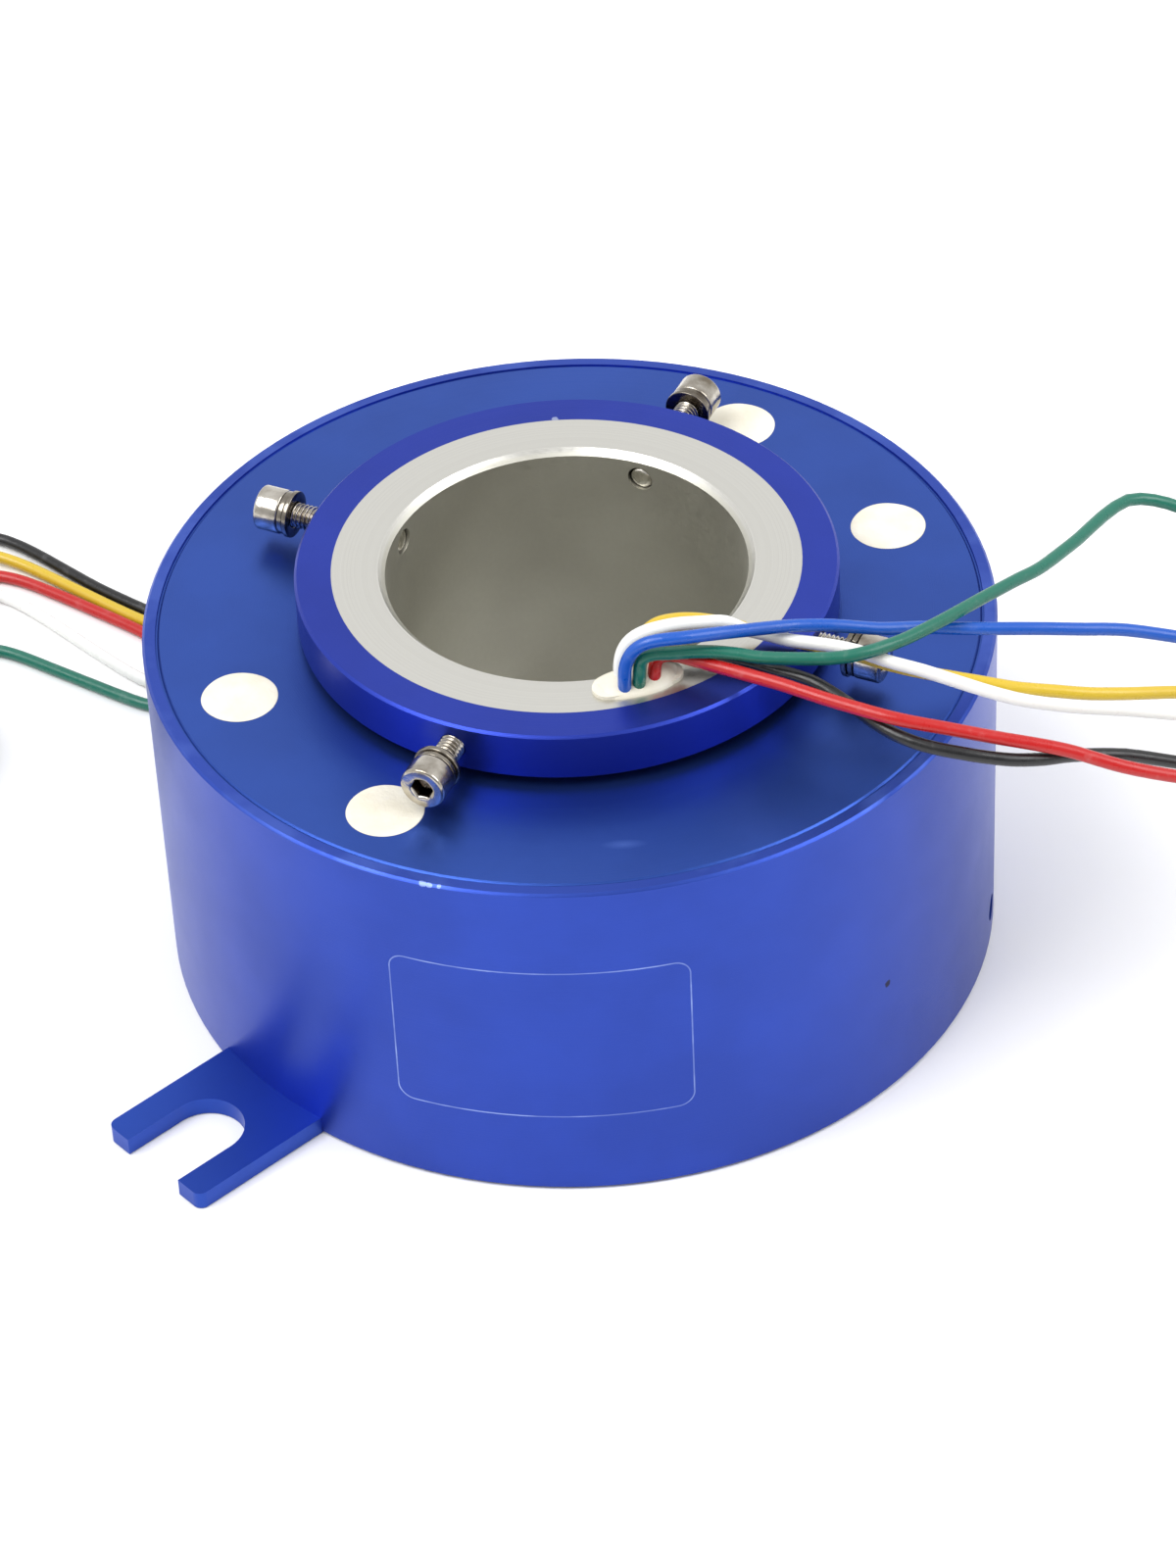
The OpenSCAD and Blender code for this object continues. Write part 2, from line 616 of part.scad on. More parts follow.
module bottom_cover() {
    hub_top = bearing_z + bearing_w;
    color(blue_alloy) difference() {
        turned([
            [lip_r, 0], [shell_in_r, 0], [shell_in_r, bottom_rim_h], [rim_in, bottom_rim_h],
            [rim_in, bottom_plate_t], [hub_r, bottom_plate_t], [hub_r, hub_top],
            [bearing_r, hub_top], [bearing_r, bearing_z], [lip_r, bearing_z]
        ]);
        tab_pocket();
        for (a = grub_angles) radial(a, grub_z) rod(grub_d, grub_r, housing_r);
        for (a = post_angles) upright(a, post_r) rod(spigot_d, spigot_z, top_cover_z);
        radial(outlet_angle, outlet_z) rod(outlet_d, outlet_in, housing_r, 64);
        at_tab_screws() rod(tab_screw_d, 0, tab_screw_len);
    }
}

// The recess that the tab lies in under the housing
module tab_pocket() {
    rotate([0, 0, tab_angle]) translate([tab_root, -tab_w / 2, -cut]) cube([tab_tip, tab_w, tab_t + cut]);
}

module at_tab_screws() {
    rotate([0, 0, tab_angle]) for (side = [-1, 1])
        translate([tab_grip_r, side * tab_screw_pitch / 2, 0]) children();
}

module anti_rotation_tab() {
    prong = (tab_w - slot_w) / 2;
    tip = tab_tip - tab_corner;
    color(blue_alloy) difference() {
        rotate([0, 0, tab_angle]) linear_extrude(tab_t) difference() {
            union() {
                translate([tab_root, -tab_w / 2]) square([tip - tab_root, tab_w]);
                for (side = [-1, 1]) scale([1, side]) {
                    translate([tip, slot_w / 2]) square([tab_corner, prong - tab_corner]);
                    translate([tip, tab_w / 2 - tab_corner]) circle(r = tab_corner, $fn = 32);
                }
            }
            translate([slot_end + slot_w / 2, 0]) {
                circle(d = slot_w, $fn = 64);
                translate([0, -slot_w / 2]) square([tab_tip, slot_w]);
            }
        }
        at_tab_screws() {
            rod(tab_screw_d, 0, tab_t + cut);
            translate([0, 0, -eps])
                cylinder(d1 = 2 * (tab_screw_d + eps), d2 = tab_screw_d, h = tab_head_h + eps, $fn = 32);
        }
    }
}

module tab_screws() {
    color(steel) at_tab_screws() difference() {
        rotate_extrude($fn = 32) polygon([
            [0, 0], [tab_screw_d, 0], [tab_screw_d / 2, tab_head_h],
            [tab_screw_d / 2, tab_screw_len], [0, tab_screw_len]
        ]);
        rod(tab_head_h * hex, -cut, tab_head_h / 2, 6);
    }
}

module shell_screws() {
    color("dimgray") for (a = grub_angles) radial(a, grub_z) difference() {
        rod(grub_d, grub_r, grub_out);
        rod(grub_d / 2 * hex, (grub_r + grub_out) / 2, housing_r, 6);
    }
}

module outlet_potting() {
    color(resin) radial(outlet_angle, outlet_z) rod(outlet_d, outlet_in, outlet_out, 64);
}

// --- Brushes ---

module seal_plugs() {
    color(resin) for (a = post_angles) upright(a, post_r) rod(seal_d, housing_h - seal_t, housing_h, 64);
}

module post_screws() {
    head_r = post_head_d / 2;
    color(steel) for (a = post_angles) upright(a, post_r) translate([0, 0, seal_floor])
        rotate_extrude($fn = 64) polygon([
            [0, -post_screw_len], [post_screw_d / 2, -post_screw_len], [post_screw_d / 2, 0],
            [head_r, 0], [head_r, post_head_h], [0, post_head_h]
        ]);
}

module brush_posts() {
    color(bare_alloy) for (a = post_angles) upright(a, post_r) difference() {
        rotate_extrude($fn = 64) polygon([
            [0, spigot_z], [spigot_d / 2, spigot_z],
            [spigot_d / 2, bottom_plate_t], [foot_r, bottom_plate_t], [foot_r, block_z],
            [post_d / 2, block_z], [post_d / 2, top_cover_z], [0, top_cover_z]
        ]);
        rod(post_screw_d, seal_floor - post_screw_len, housing_h);
    }
}

module brush_blocks() {
    color("darkolivegreen") difference() {
        for (a = block_angles) rotate([0, 0, a - block_half]) translate([0, 0, block_z])
            rotate_extrude(angle = 2 * block_half, $fn = 180)
                translate([block_in, 0]) square([block_out - block_in, block_h]);
        for (a = post_angles) upright(a, post_r) rod(post_d, 0, housing_h, 64);
        brush_wires();
    }
}

// One wire for each ring in each block, which touches its ring half way along
module brush_wires() {
    color(silver_alloy) for (a = block_angles, i = [0:ring_count - 1])
        rotate([0, 0, a]) translate([brush_r, 0, ring_z(i)]) rotate([90, 0, 0])
            cylinder(d = brush_d, h = 2 * brush_half, center = true, $fn = 16);
}

// --- Leads ---

// A route with a point added half way between each two of its points, on a smooth curve
function smoothed(route) = let (last = len(route) - 1) [
    for (i = [0:2 * last]) let (k = floor(i / 2)) i % 2 == 0 ? route[k]
        : (9 * (route[k] + route[k + 1]) - route[max(k - 1, 0)] - route[min(k + 2, last)]) / 16
];

function unit(v) = v / norm(v);

// A round lead along a route that never runs along the given reference direction
module lead(paint, route, reference) {
    path = smoothed(route);
    last = len(path) - 1;
    points = [
        for (i = [0:last])
            let (ahead = path[min(i + 1, last)] - path[max(i - 1, 0)])
            let (across = unit(cross(ahead, reference)))
            let (over = unit(cross(ahead, across)))
            for (k = [0:lead_sides - 1])
                let (turn = k * 360 / lead_sides)
                path[i] + lead_d / 2 * (cos(turn) * across + sin(turn) * over)
    ];
    function corner(i, k) = i * lead_sides + k % lead_sides;
    walls = [
        for (i = [0:last - 1], k = [0:lead_sides - 1])
            [corner(i, k), corner(i + 1, k), corner(i + 1, k + 1), corner(i, k + 1)]
    ];
    start = [for (k = [0:lead_sides - 1]) corner(0, k)];
    end = [for (k = [lead_sides - 1:-1:0]) corner(last, k)];
    color(paint) polyhedron(points, concat(walls, [start, end]));
}

module rotor_lead(paint, route) {
    lead(paint, route, [0, 1, 0]);
}

module stator_lead(paint, route) {
    lead(paint, route, [0, 0, 1]);
}

module lead_coil(layers) {
    color("slategray") ring(coil_r - coil_half, coil_r + coil_half, 0, layers * coil_pitch);
}

module rotor_lead_coil() {
    translate(rotor_coil_at) lead_coil(rotor_coil_layers);
}

module stator_lead_coil() {
    translate(stator_coil_at) lead_coil(stator_coil_layers);
}

module stator_blue_coil() {
    color("royalblue") translate(blue_coil_at) ring(blue_coil_in, blue_coil_out, 0, lead_d);
}

rotor_tube();
clamp_collar();
ring_sleeve();
ring_spacers();
slip_ring(0);  // slip_ring_1
slip_ring(1);  // slip_ring_2
slip_ring(2);  // slip_ring_3
slip_ring(3);  // slip_ring_4
slip_ring(4);  // slip_ring_5
slip_ring(5);  // slip_ring_6
race(tube_r, race_in, upper_z);  // upper_inner_race
race(tube_r, race_in, bearing_z);  // lower_inner_race
rotor_potting();
retaining_ring();
clamp_screw(0);  // clamp_screw_1
clamp_screw(1);  // clamp_screw_2
clamp_screw(2);  // clamp_screw_3
clamp_screw(3);  // clamp_screw_4
spring_washer(0);  // spring_washer_1
spring_washer(1);  // spring_washer_2
spring_washer(2);  // spring_washer_3
spring_washer(3);  // spring_washer_4
plain_washer(0);  // plain_washer_1
plain_washer(1);  // plain_washer_2
plain_washer(2);  // plain_washer_3
plain_washer(3);  // plain_washer_4
cage(upper_z);  // upper_cage
balls(upper_z);  // upper_balls
cage(bearing_z);  // lower_cage
balls(bearing_z);  // lower_balls
housing_shell();
top_cover();
bottom_cover();
anti_rotation_tab();
tab_screws();
shell_screws();
seal_plugs();
post_screws();
brush_posts();
brush_blocks();
brush_wires();
race(race_out, bearing_r, upper_z);  // upper_outer_race
race(race_out, bearing_r, bearing_z);  // lower_outer_race
outlet_potting();
rotor_lead("royalblue", rotor_blue_route);  // rotor_lead_blue
rotor_lead("seagreen", rotor_green_route);  // rotor_lead_green
rotor_lead("orangered", rotor_red_route);  // rotor_lead_red
rotor_lead("white", rotor_white_route);  // rotor_lead_white
rotor_lead("gold", rotor_yellow_route);  // rotor_lead_yellow
rotor_lead("dimgray", rotor_black_route);  // rotor_lead_black
rotor_lead_coil();
stator_lead("royalblue", stator_blue_route);  // stator_lead_blue
stator_lead("seagreen", stator_green_route);  // stator_lead_green
stator_lead("orangered", stator_red_route);  // stator_lead_red
stator_lead("white", stator_white_route);  // stator_lead_white
stator_lead("gold", stator_yellow_route);  // stator_lead_yellow
stator_lead("dimgray", stator_black_route);  // stator_lead_black
stator_lead_coil();
stator_blue_coil();
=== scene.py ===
import math

import bmesh
import bpy
import numpy as np
from mathutils import Matrix, Vector


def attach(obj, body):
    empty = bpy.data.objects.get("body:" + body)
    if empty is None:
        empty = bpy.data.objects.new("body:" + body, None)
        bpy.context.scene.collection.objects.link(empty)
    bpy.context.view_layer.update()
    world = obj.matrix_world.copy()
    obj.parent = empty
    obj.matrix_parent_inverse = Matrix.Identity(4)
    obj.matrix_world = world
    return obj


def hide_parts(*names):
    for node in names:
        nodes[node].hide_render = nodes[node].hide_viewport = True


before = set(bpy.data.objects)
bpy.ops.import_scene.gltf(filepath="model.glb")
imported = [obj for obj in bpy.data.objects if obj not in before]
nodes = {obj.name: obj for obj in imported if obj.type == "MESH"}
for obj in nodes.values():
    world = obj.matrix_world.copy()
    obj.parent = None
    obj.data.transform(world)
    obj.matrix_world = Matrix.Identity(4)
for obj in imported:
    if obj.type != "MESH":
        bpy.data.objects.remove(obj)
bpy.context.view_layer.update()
mm = 0.001


# camera: aims at the middle of the housing's top face, then pan, tilt and roll off that aim
cameraSpec = {
    "distance": 0.8257, "elevation": 38.777, "target": (0, 0, 0.059),
    "pan": -0.107, "tilt": -1.840, "roll": 2.957, "lens": 124.65, "sensor": 36,
    "clip": (0.01, 50),
}


def turnedAbout(axis, degrees, vector):
    # the vector turned about the axis by the right-hand rule
    return Matrix.Rotation(math.radians(degrees), 3, axis) @ vector


def makeCamera(spec):
    # place = target + distance * (0, -cos(elevation), sin(elevation))
    # the aim is turned by pan about up and by tilt about right, and the picture by roll about the aim
    elevation = math.radians(spec["elevation"])
    offset = Vector((0, -math.cos(elevation), math.sin(elevation))) * spec["distance"]
    forward = -offset.normalized()
    right = Vector((1, 0, 0))
    up = right.cross(forward)
    forward = turnedAbout(up, spec["pan"], forward)
    right = turnedAbout(up, spec["pan"], right)
    forward = turnedAbout(right, spec["tilt"], forward)
    up = right.cross(forward)
    right = turnedAbout(forward, spec["roll"], right)
    up = turnedAbout(forward, spec["roll"], up)
    data = bpy.data.cameras.new("camera")
    data.lens = spec["lens"]
    data.sensor_width = spec["sensor"]
    data.clip_start, data.clip_end = spec["clip"]
    camera = bpy.data.objects.new("camera", data)
    camera.matrix_world = Matrix((
        (right.x, up.x, -forward.x, offset.x + spec["target"][0]),
        (right.y, up.y, -forward.y, offset.y + spec["target"][1]),
        (right.z, up.z, -forward.z, offset.z + spec["target"][2]),
        (0, 0, 0, 1),
    ))
    bpy.context.scene.collection.objects.link(camera)
    bpy.context.scene.camera = camera


makeCamera(cameraSpec)
print("stage 1: camera")


# surfaces
def link(name, mesh):
    obj = bpy.data.objects.new(name, mesh)
    bpy.context.scene.collection.objects.link(obj)
    return obj


def gridMesh(name, points, caps=False):
    # points[row, column]: rows along the piece, columns round it, where the last column joins the first
    rows, columns = points.shape[:2]
    index = np.arange(rows * columns).reshape(rows, columns)
    after = np.roll(index, -1, axis=1)
    faces = np.stack([index[:-1], after[:-1], after[1:], index[1:]], axis=-1).reshape(-1, 4).tolist()
    if caps:
        faces += [index[0, ::-1].tolist(), index[-1].tolist()]
    mesh = bpy.data.meshes.new(name)
    mesh.from_pydata(points.reshape(-1, 3).tolist(), [], faces)
    shape = bmesh.new()
    shape.from_mesh(mesh)
    bmesh.ops.remove_doubles(shape, verts=shape.verts, dist=1e-7)  # closes a grid whose last row is its first
    if shape.calc_volume(signed=True) < 0:  # faces point outwards
        bmesh.ops.reverse_faces(shape, faces=shape.faces)
    shape.to_mesh(mesh)
    shape.free()
    mesh.polygons.foreach_set("use_smooth", np.ones(len(mesh.polygons), dtype=bool))
    mesh.update()
    return mesh


def setMaterial(obj, material):
    obj.data.materials.clear()
    obj.data.materials.append(material)


# materials
def startMaterial(name):
    material = bpy.data.materials.new(name)
    material.use_nodes = True
    tree = material.node_tree
    return material, tree, tree.nodes["Principled BSDF"]


def feed(tree, socket, value):
    if isinstance(value, bpy.types.NodeSocket):
        tree.links.new(value, socket)
    else:
        socket.default_value = value


def mathNode(tree, operation, first, second=None):
    node = tree.nodes.new("ShaderNodeMath")
    node.operation = operation
    feed(tree, node.inputs[0], first)
    if second is not None:
        feed(tree, node.inputs[1], second)
    return node.outputs[0]


def times(tree, first, second):
    return mathNode(tree, "MULTIPLY", first, second)


def plus(tree, first, second):
    return mathNode(tree, "ADD", first, second)


def minus(tree, first, second):
    return mathNode(tree, "SUBTRACT", first, second)


def lengthNode(tree, first, second):
    # sqrt(first^2 + second^2)
    return mathNode(tree, "SQRT", plus(tree, times(tree, first, first), times(tree, second, second)))


def mixColour(tree, factor, first, second):
    node = tree.nodes.new("ShaderNodeMix")
    node.data_type = "RGBA"
    feed(tree, node.inputs["Factor"], factor)
    feed(tree, node.inputs["A"], first)
    feed(tree, node.inputs["B"], second)
    return node.outputs["Result"]


def objectPoint(tree):
    return tree.nodes.new("ShaderNodeTexCoord").outputs["Object"]


def split(tree, vector):
    node = tree.nodes.new("ShaderNodeSeparateXYZ")
    feed(tree, node.inputs[0], vector)
    return node.outputs[0], node.outputs[1], node.outputs[2]


def joined(tree, x, y, z):
    node = tree.nodes.new("ShaderNodeCombineXYZ")
    for socket, value in zip(node.inputs, (x, y, z)):
        feed(tree, socket, value)
    return node.outputs[0]


def noise(tree, vector, scale, detail=2.0, roughness=0.5):
    node = tree.nodes.new("ShaderNodeTexNoise")
    node.inputs["Scale"].default_value = scale
    node.inputs["Detail"].default_value = detail
    node.inputs["Roughness"].default_value = roughness
    feed(tree, node.inputs["Vector"], vector)
    return node.outputs["Fac"]


def ramp(tree, value, low, high, fromValue, toValue):
    # straight line from fromValue at low to toValue at high, held outside
    node = tree.nodes.new("ShaderNodeMapRange")
    feed(tree, node.inputs["Value"], value)
    for name, number in (("From Min", low), ("From Max", high), ("To Min", fromValue), ("To Max", toValue)):
        node.inputs[name].default_value = number
    return node.outputs["Result"]


def bump(tree, shader, height, distance):
    node = tree.nodes.new("ShaderNodeBump")
    node.inputs["Strength"].default_value = 1.0
    node.inputs["Distance"].default_value = distance
    feed(tree, node.inputs["Height"], height)
    feed(tree, shader.inputs["Normal"], node.outputs["Normal"])


def linear(colour, share=1.0):
    # sRGB 0 to 255, times share, to linear
    def one(value):
        value = share * value / 255
        return value / 12.92 if value <= 0.04045 else ((value + 0.055) / 1.055) ** 2.4
    return tuple(one(value) for value in colour) + (1,)


def cylinderPoint(tree):
    # radius and angle in radians about the shaft's axis, and height, all from Object coordinates
    point = objectPoint(tree)
    x, y, z = split(tree, point)
    return point, lengthNode(tree, x, y), mathNode(tree, "ARCTAN2", y, x), z


def plainMaterial(name, spec):
    # one colour with a fine grain that darkens it, roughens it and stands out of it by a little
    material, tree, shader = startMaterial(name)
    shader.inputs["Metallic"].default_value = spec["metallic"]
    spots = noise(tree, objectPoint(tree), spec["scale"], 3)
    colour = linear(spec["colour"])
    darker = tuple(0.82 * value for value in colour[:3]) + (1,)
    feed(tree, shader.inputs["Base Color"], mixColour(tree, ramp(tree, spots, 0.35, 0.65, 0.0, 0.5), colour, darker))
    roughness = spec["roughness"]
    feed(tree, shader.inputs["Roughness"], ramp(tree, spots, 0.3, 0.7, roughness * 0.9, roughness * 1.1))
    bump(tree, shader, spots, spec["grain"])
    return material


# leads: routes in millimetres from where each lead leaves the sealing compound, then a coil of the rest
leadSpec = {
    "length": 0.3, "diameter": 0.002, "tinned": 0.004, "tinnedDiameter": 0.0013,
    "layerRise": 4.4, "riseFrom": 200, "riseTo": 300, "step": 1.5, "spiralStep": 7.0,
    "tin": {"colour": (190, 186, 176), "metallic": 1.0, "roughness": 0.35, "grain": 0.00005, "scale": 1500},
    "colours": {
        "blue": (12, 78, 172), "green": (16, 100, 82), "red": (174, 20, 20),
        "white": (228, 228, 224), "yellow": (198, 168, 44), "black": (20, 20, 22),
    },
}
rotorLeads = {
    "centre": (175, -32.2), "startAngle": 90, "body": "rotor", "prefix": "rotor_lead_", "coil": "rotor_lead_coil",
    "routes": {
        "blue": [
            (7.6, -31.6, 68), (7.6, -31.7, 71), (7.9, -31.6, 73.7), (8.9, -31.7, 76), (10.6, -31.8, 77.5),
            (13, -31.9, 78.2), (16.3, -31.6, 78.2), (21.4, -29.8, 77.2), (25, -28, 76), (32, -24.5, 73.6),
            (38.5, -23.5, 72.5), (45.5, -22.5, 70.6), (52, -20.5, 68.8), (57, -20, 67.9), (63.5, -19.5, 67),
            (69.5, -19, 66.2), (76.5, -18, 64.8), (83, -16.5, 63), (92, -15.5, 60), (101, -15, 57),
            (110, -15, 53), (119, -15.5, 48.5), (126, -16.5, 42.8), (132, -17.5, 36.4), (138, -18, 29),
            (144, -18, 21), (149, -18, 14), (154, -18, 8.2), (159, -18, 4.6), (164, -18, 3.2),
            (169.3, -18, 3.2),
        ],
        "green": [
            (9.6, -30.9, 68), (9.8, -31.2, 70.9), (10, -30.9, 73), (10.6, -30.8, 74.2), (12.2, -30.5, 74.5),
            (14.4, -30.4, 74.4), (17.7, -30.2, 74.3), (21.3, -30.31, 74.11), (24.8, -30.8, 73.8),
            (28.4, -31.5, 73.5), (37.5, -32, 73.2), (42.5, -31.3, 73.3), (46, -29.6, 73), (49.5, -27, 72.3),
            (55, -22, 71.2), (61, -15.8, 69.7), (67.5, -9.2, 68), (71.5, -5, 66.8), (78, 3.5, 65.2),
            (86.5, 14.5, 63.3), (95, 15.5, 60.5), (103, 13, 56.5), (111, 8, 51.3), (119, 1, 45),
            (126, -7, 38.5), (132, -13, 32), (138, -16.5, 24.5), (143.5, -17.8, 17), (148.5, -18, 10),
            (153, -18, 4.6), (158, -18, 1.6), (163, -18, 1), (169.3, -18, 1),
        ],
        "red": [
            (11.9, -29.6, 68), (12, -29.8, 69.9), (12.2, -29.1, 71.3), (12.8, -28.2, 71.9), (14.1, -27.8, 72),
            (15.8, -28.2, 72), (17.7, -29.2, 72), (19.6, -30.29, 72.09), (21.4, -31.39, 72.2),
            (29.5, -35.8, 72.3), (33, -37.8, 72.2), (37, -40, 72), (41, -42, 71.8), (45, -44, 71.7),
            (49, -45, 71.1), (53, -45.5, 70.3), (61, -46.3, 68.5), (67, -46.8, 67.2), (72, -47.2, 65.8),
            (79, -48, 63.3), (88, -47.3, 60), (97, -45, 56.5), (106, -41, 52.5), (115, -36, 48.5),
            (123, -30.5, 44.5), (130, -25.8, 38.8), (136, -23, 31.8), (142, -22.4, 24), (147.5, -22.4, 16),
            (152.5, -22.4, 9.8), (157.5, -22.4, 5.4), (163.2, -22.4, 3.2),
        ],
        "white": [
            (7.1, -29.5, 68), (7, -29.2, 70.8), (7.3, -28.9, 73.2), (8.3, -28.3, 75), (10, -27.6, 76),
            (12.4, -26.8, 76.3), (15.6, -25.9, 76.2), (19.4, -24.8, 75.4), (22.8, -24.12, 74.72),
            (25.49, -23.69, 72.85), (29, -23.84, 71.63), (32, -24.9, 71.3), (37.5, -26.6, 71.4),
            (42, -28.2, 71.2), (46, -30.3, 70.8), (51.5, -32.4, 70.2), (56.5, -34.2, 69.2),
            (64.5, -36.4, 67.4), (73, -36.5, 65.4), (81, -35, 63), (92, -33, 59.5), (101, -30, 56.5),
            (110, -27, 53), (119, -24, 48.7), (126, -21.8, 43), (132, -20.6, 36.6), (138, -20.2, 29),
            (144, -20.2, 21), (149, -20.2, 14), (154, -20.2, 8.2), (159, -20.2, 4.6), (165.5, -20.2, 3.2),
        ],
        "yellow": [
            (9.3, -28.7, 68), (9.2, -27.7, 70.4), (9.5, -26.4, 72.4), (10.8, -24.7, 73.6), (12.5, -23.2, 74.1),
            (14.7, -22.2, 74), (17.6, -21.6, 73.6), (21, -21.48, 72.88), (25.31, -21.91, 71.75),
            (25.5, -21.54, 71.15), (29, -22, 70.2), (32, -23.2, 69.9), (37.5, -24.8, 69.5), (42, -26.8, 69.3),
            (46.5, -29, 69), (51.5, -30.6, 68.5), (59.5, -32.2, 67.5), (65, -33, 66.6), (70.5, -32.8, 65.5),
            (76, -32.3, 64.2), (83, -30.5, 62.3), (92, -27, 59), (101, -25, 55.5), (110, -23, 51),
            (119, -21.5, 45), (126, -20.5, 38.5), (132, -20.2, 32), (138, -20.2, 24.5), (143.5, -20.2, 17),
            (148.5, -20.2, 10), (153, -20.2, 4.6), (158, -20.2, 1.6), (165.5, -20.2, 1),
        ],
        "black": [
            (11.4, -27.6, 68), (11.1, -27.2, 69.2), (11.5, -26.6, 70.1), (12.8, -26.2, 70.5),
            (14.5, -25.9, 70.5), (19, -26.3, 70.3), (24.5, -27.6, 70.2), (29.5, -30, 70), (35, -33, 69.8),
            (40, -38.2, 69.5), (45, -44.2, 69.3), (50, -47, 68.5), (55.5, -48.2, 67.6), (59.5, -48.3, 66.6),
            (63.5, -48, 65.6), (68, -46.8, 64.5), (72, -45.2, 63.5), (80, -42.8, 61), (88, -41, 57.5),
            (97, -38.5, 53.5), (106, -35, 49), (115, -30, 43.5), (123, -26, 37.8), (130, -23.5, 31.3),
            (136, -22.6, 24.8), (142, -22.4, 17.6), (147.5, -22.4, 10.5), (152.5, -22.4, 4.8),
            (158, -22.4, 1.6), (163.2, -22.4, 1),
        ],
    },
}
statorLeads = {
    "centre": (-116, 40), "startAngle": 0, "body": "housing", "prefix": "stator_lead_", "coil": "stator_lead_coil",
    "routes": {
        "green": [
            (-49, 43.7, 9.7), (-52, 46.5, 9.5), (-55.5, 48.6, 7.5), (-59, 50.2, 4.6), (-62.8, 51.4, 2),
            (-67, 52.3, 1), (-71.5, 53.3, 1), (-79.5, 58.5, 1), (-87.5, 64, 1), (-94, 68.3, 1),
            (-98.8, 69.8, 1), (-101.3, 67.5, 1), (-101.8, 63, 1), (-101.8, 54, 1), (-101.8, 45.7, 1),
        ],
        "red": [
            (-47.2, 45.6, 9.7), (-50, 48.3, 9.4), (-53.5, 52, 7.2), (-57.5, 56.6, 4.2), (-61.5, 61.2, 1.9),
            (-66, 66.4, 1), (-72.8, 72.8, 1), (-80.5, 78.8, 1), (-88.3, 84.6, 1), (-94, 88.3, 1),
            (-99, 89.8, 1), (-102.8, 87.8, 1), (-104, 83.5, 1), (-104, 70, 1), (-104, 49.5, 1),
        ],
        "white": [
            (-49, 43.7, 12.3), (-52, 46.6, 12.3), (-55.5, 49.8, 11), (-59.5, 52.8, 8), (-63.5, 55.3, 4.4),
            (-67.5, 57.3, 1.8), (-72, 59.8, 1), (-80, 67.8, 1), (-87.8, 76.2, 1), (-93.5, 81.8, 1),
            (-97.8, 84.3, 1.2), (-100.8, 83, 1.8), (-101.8, 79, 2.8), (-101.8, 73, 3.2), (-101.8, 60, 3.2),
            (-101.8, 45.7, 3.2),
        ],
        "yellow": [
            (-47.2, 45.6, 12.3), (-50, 48.3, 12.3), (-53.5, 52.2, 10.8), (-57, 57.4, 8), (-60.6, 63.4, 4.8),
            (-64.6, 69, 2.2), (-73, 75.9, 1), (-80.7, 82.1, 1), (-88.3, 88.4, 1), (-94, 92.6, 1.2),
            (-99.5, 94.8, 1.8), (-103, 92.8, 2.8), (-104, 88.5, 3.2), (-104, 70, 3.2), (-104, 49.5, 3.2),
        ],
        "black": [
            (-45.4, 47.4, 12.3), (-48, 50.1, 12.3), (-51, 54.2, 11), (-54.8, 59.8, 8), (-59, 66, 4.5),
            (-63.5, 71.6, 1.8), (-68, 75.4, 1), (-72.6, 78.8, 1), (-80.5, 85.2, 1), (-88.5, 92.8, 1),
            (-95, 98.4, 1), (-100.5, 100.8, 1), (-104.8, 98.4, 1), (-106.2, 93.5, 1), (-106.2, 75, 1),
            (-106.2, 51.8, 1),
        ],
    },
}
blueLead = {
    "centre": (-18, 89.3), "radius": 15.3, "pitch": 2.2,
    "route": [
        (-45.4, 47.4, 9.7), (-47.6, 49.8, 9.7), (-49.2, 53, 9), (-49.2, 57.2, 7), (-47.5, 61.5, 4.2),
        (-44.5, 65.8, 1.9), (-40.5, 69.5, 1), (-35, 72.5, 1), (-28, 74, 1), (-24.5, 74, 1),
    ],
}


def leadMaterial(name, spec):
    # glossy insulation with faint scuffs, a little paler and duller where it is scuffed
    material, tree, shader = startMaterial("lead_" + name)
    colour = linear(spec["colours"][name])
    point = objectPoint(tree)
    scuffs = noise(tree, point, 420, 4, 0.6)
    pale = tuple(min(1, 0.86 * value + 0.09) for value in colour[:3]) + (1,)
    feed(tree, shader.inputs["Base Color"], mixColour(tree, ramp(tree, scuffs, 0.6, 0.74, 0.0, 0.5), colour, pale))
    feed(tree, shader.inputs["Roughness"], ramp(tree, scuffs, 0.35, 0.7, 0.24, 0.42))
    shader.inputs["Specular IOR Level"].default_value = 0.5
    bump(tree, shader, noise(tree, point, 900, 2), 0.00004)
    return material


def smoothed(route):
    # between neighbours b and c, whose own neighbours are a and d, comes (9 (b + c) - a - d) / 16, two times over
    points = np.array(route, float)
    for _ in range(2):
        padded = np.vstack([points[:1], points, points[-1:]])
        halfway = (9 * (padded[1:-2] + padded[2:-1]) - padded[:-3] - padded[3:]) / 16
        finer = np.empty((2 * len(points) - 1, 3))
        finer[::2] = points
        finer[1::2] = halfway
        points = finer
    return points


def cutTo(points, length):
    # the points up to the one where the path has run the given length
    steps = np.linalg.norm(np.diff(points, axis=0), axis=1)
    walked = np.concatenate([[0], np.cumsum(steps)])
    last = int(np.searchsorted(walked, length))
    part = (length - walked[last - 1]) / steps[last - 1]
    return np.vstack([points[:last], points[last - 1] + part * (points[last] - points[last - 1])])


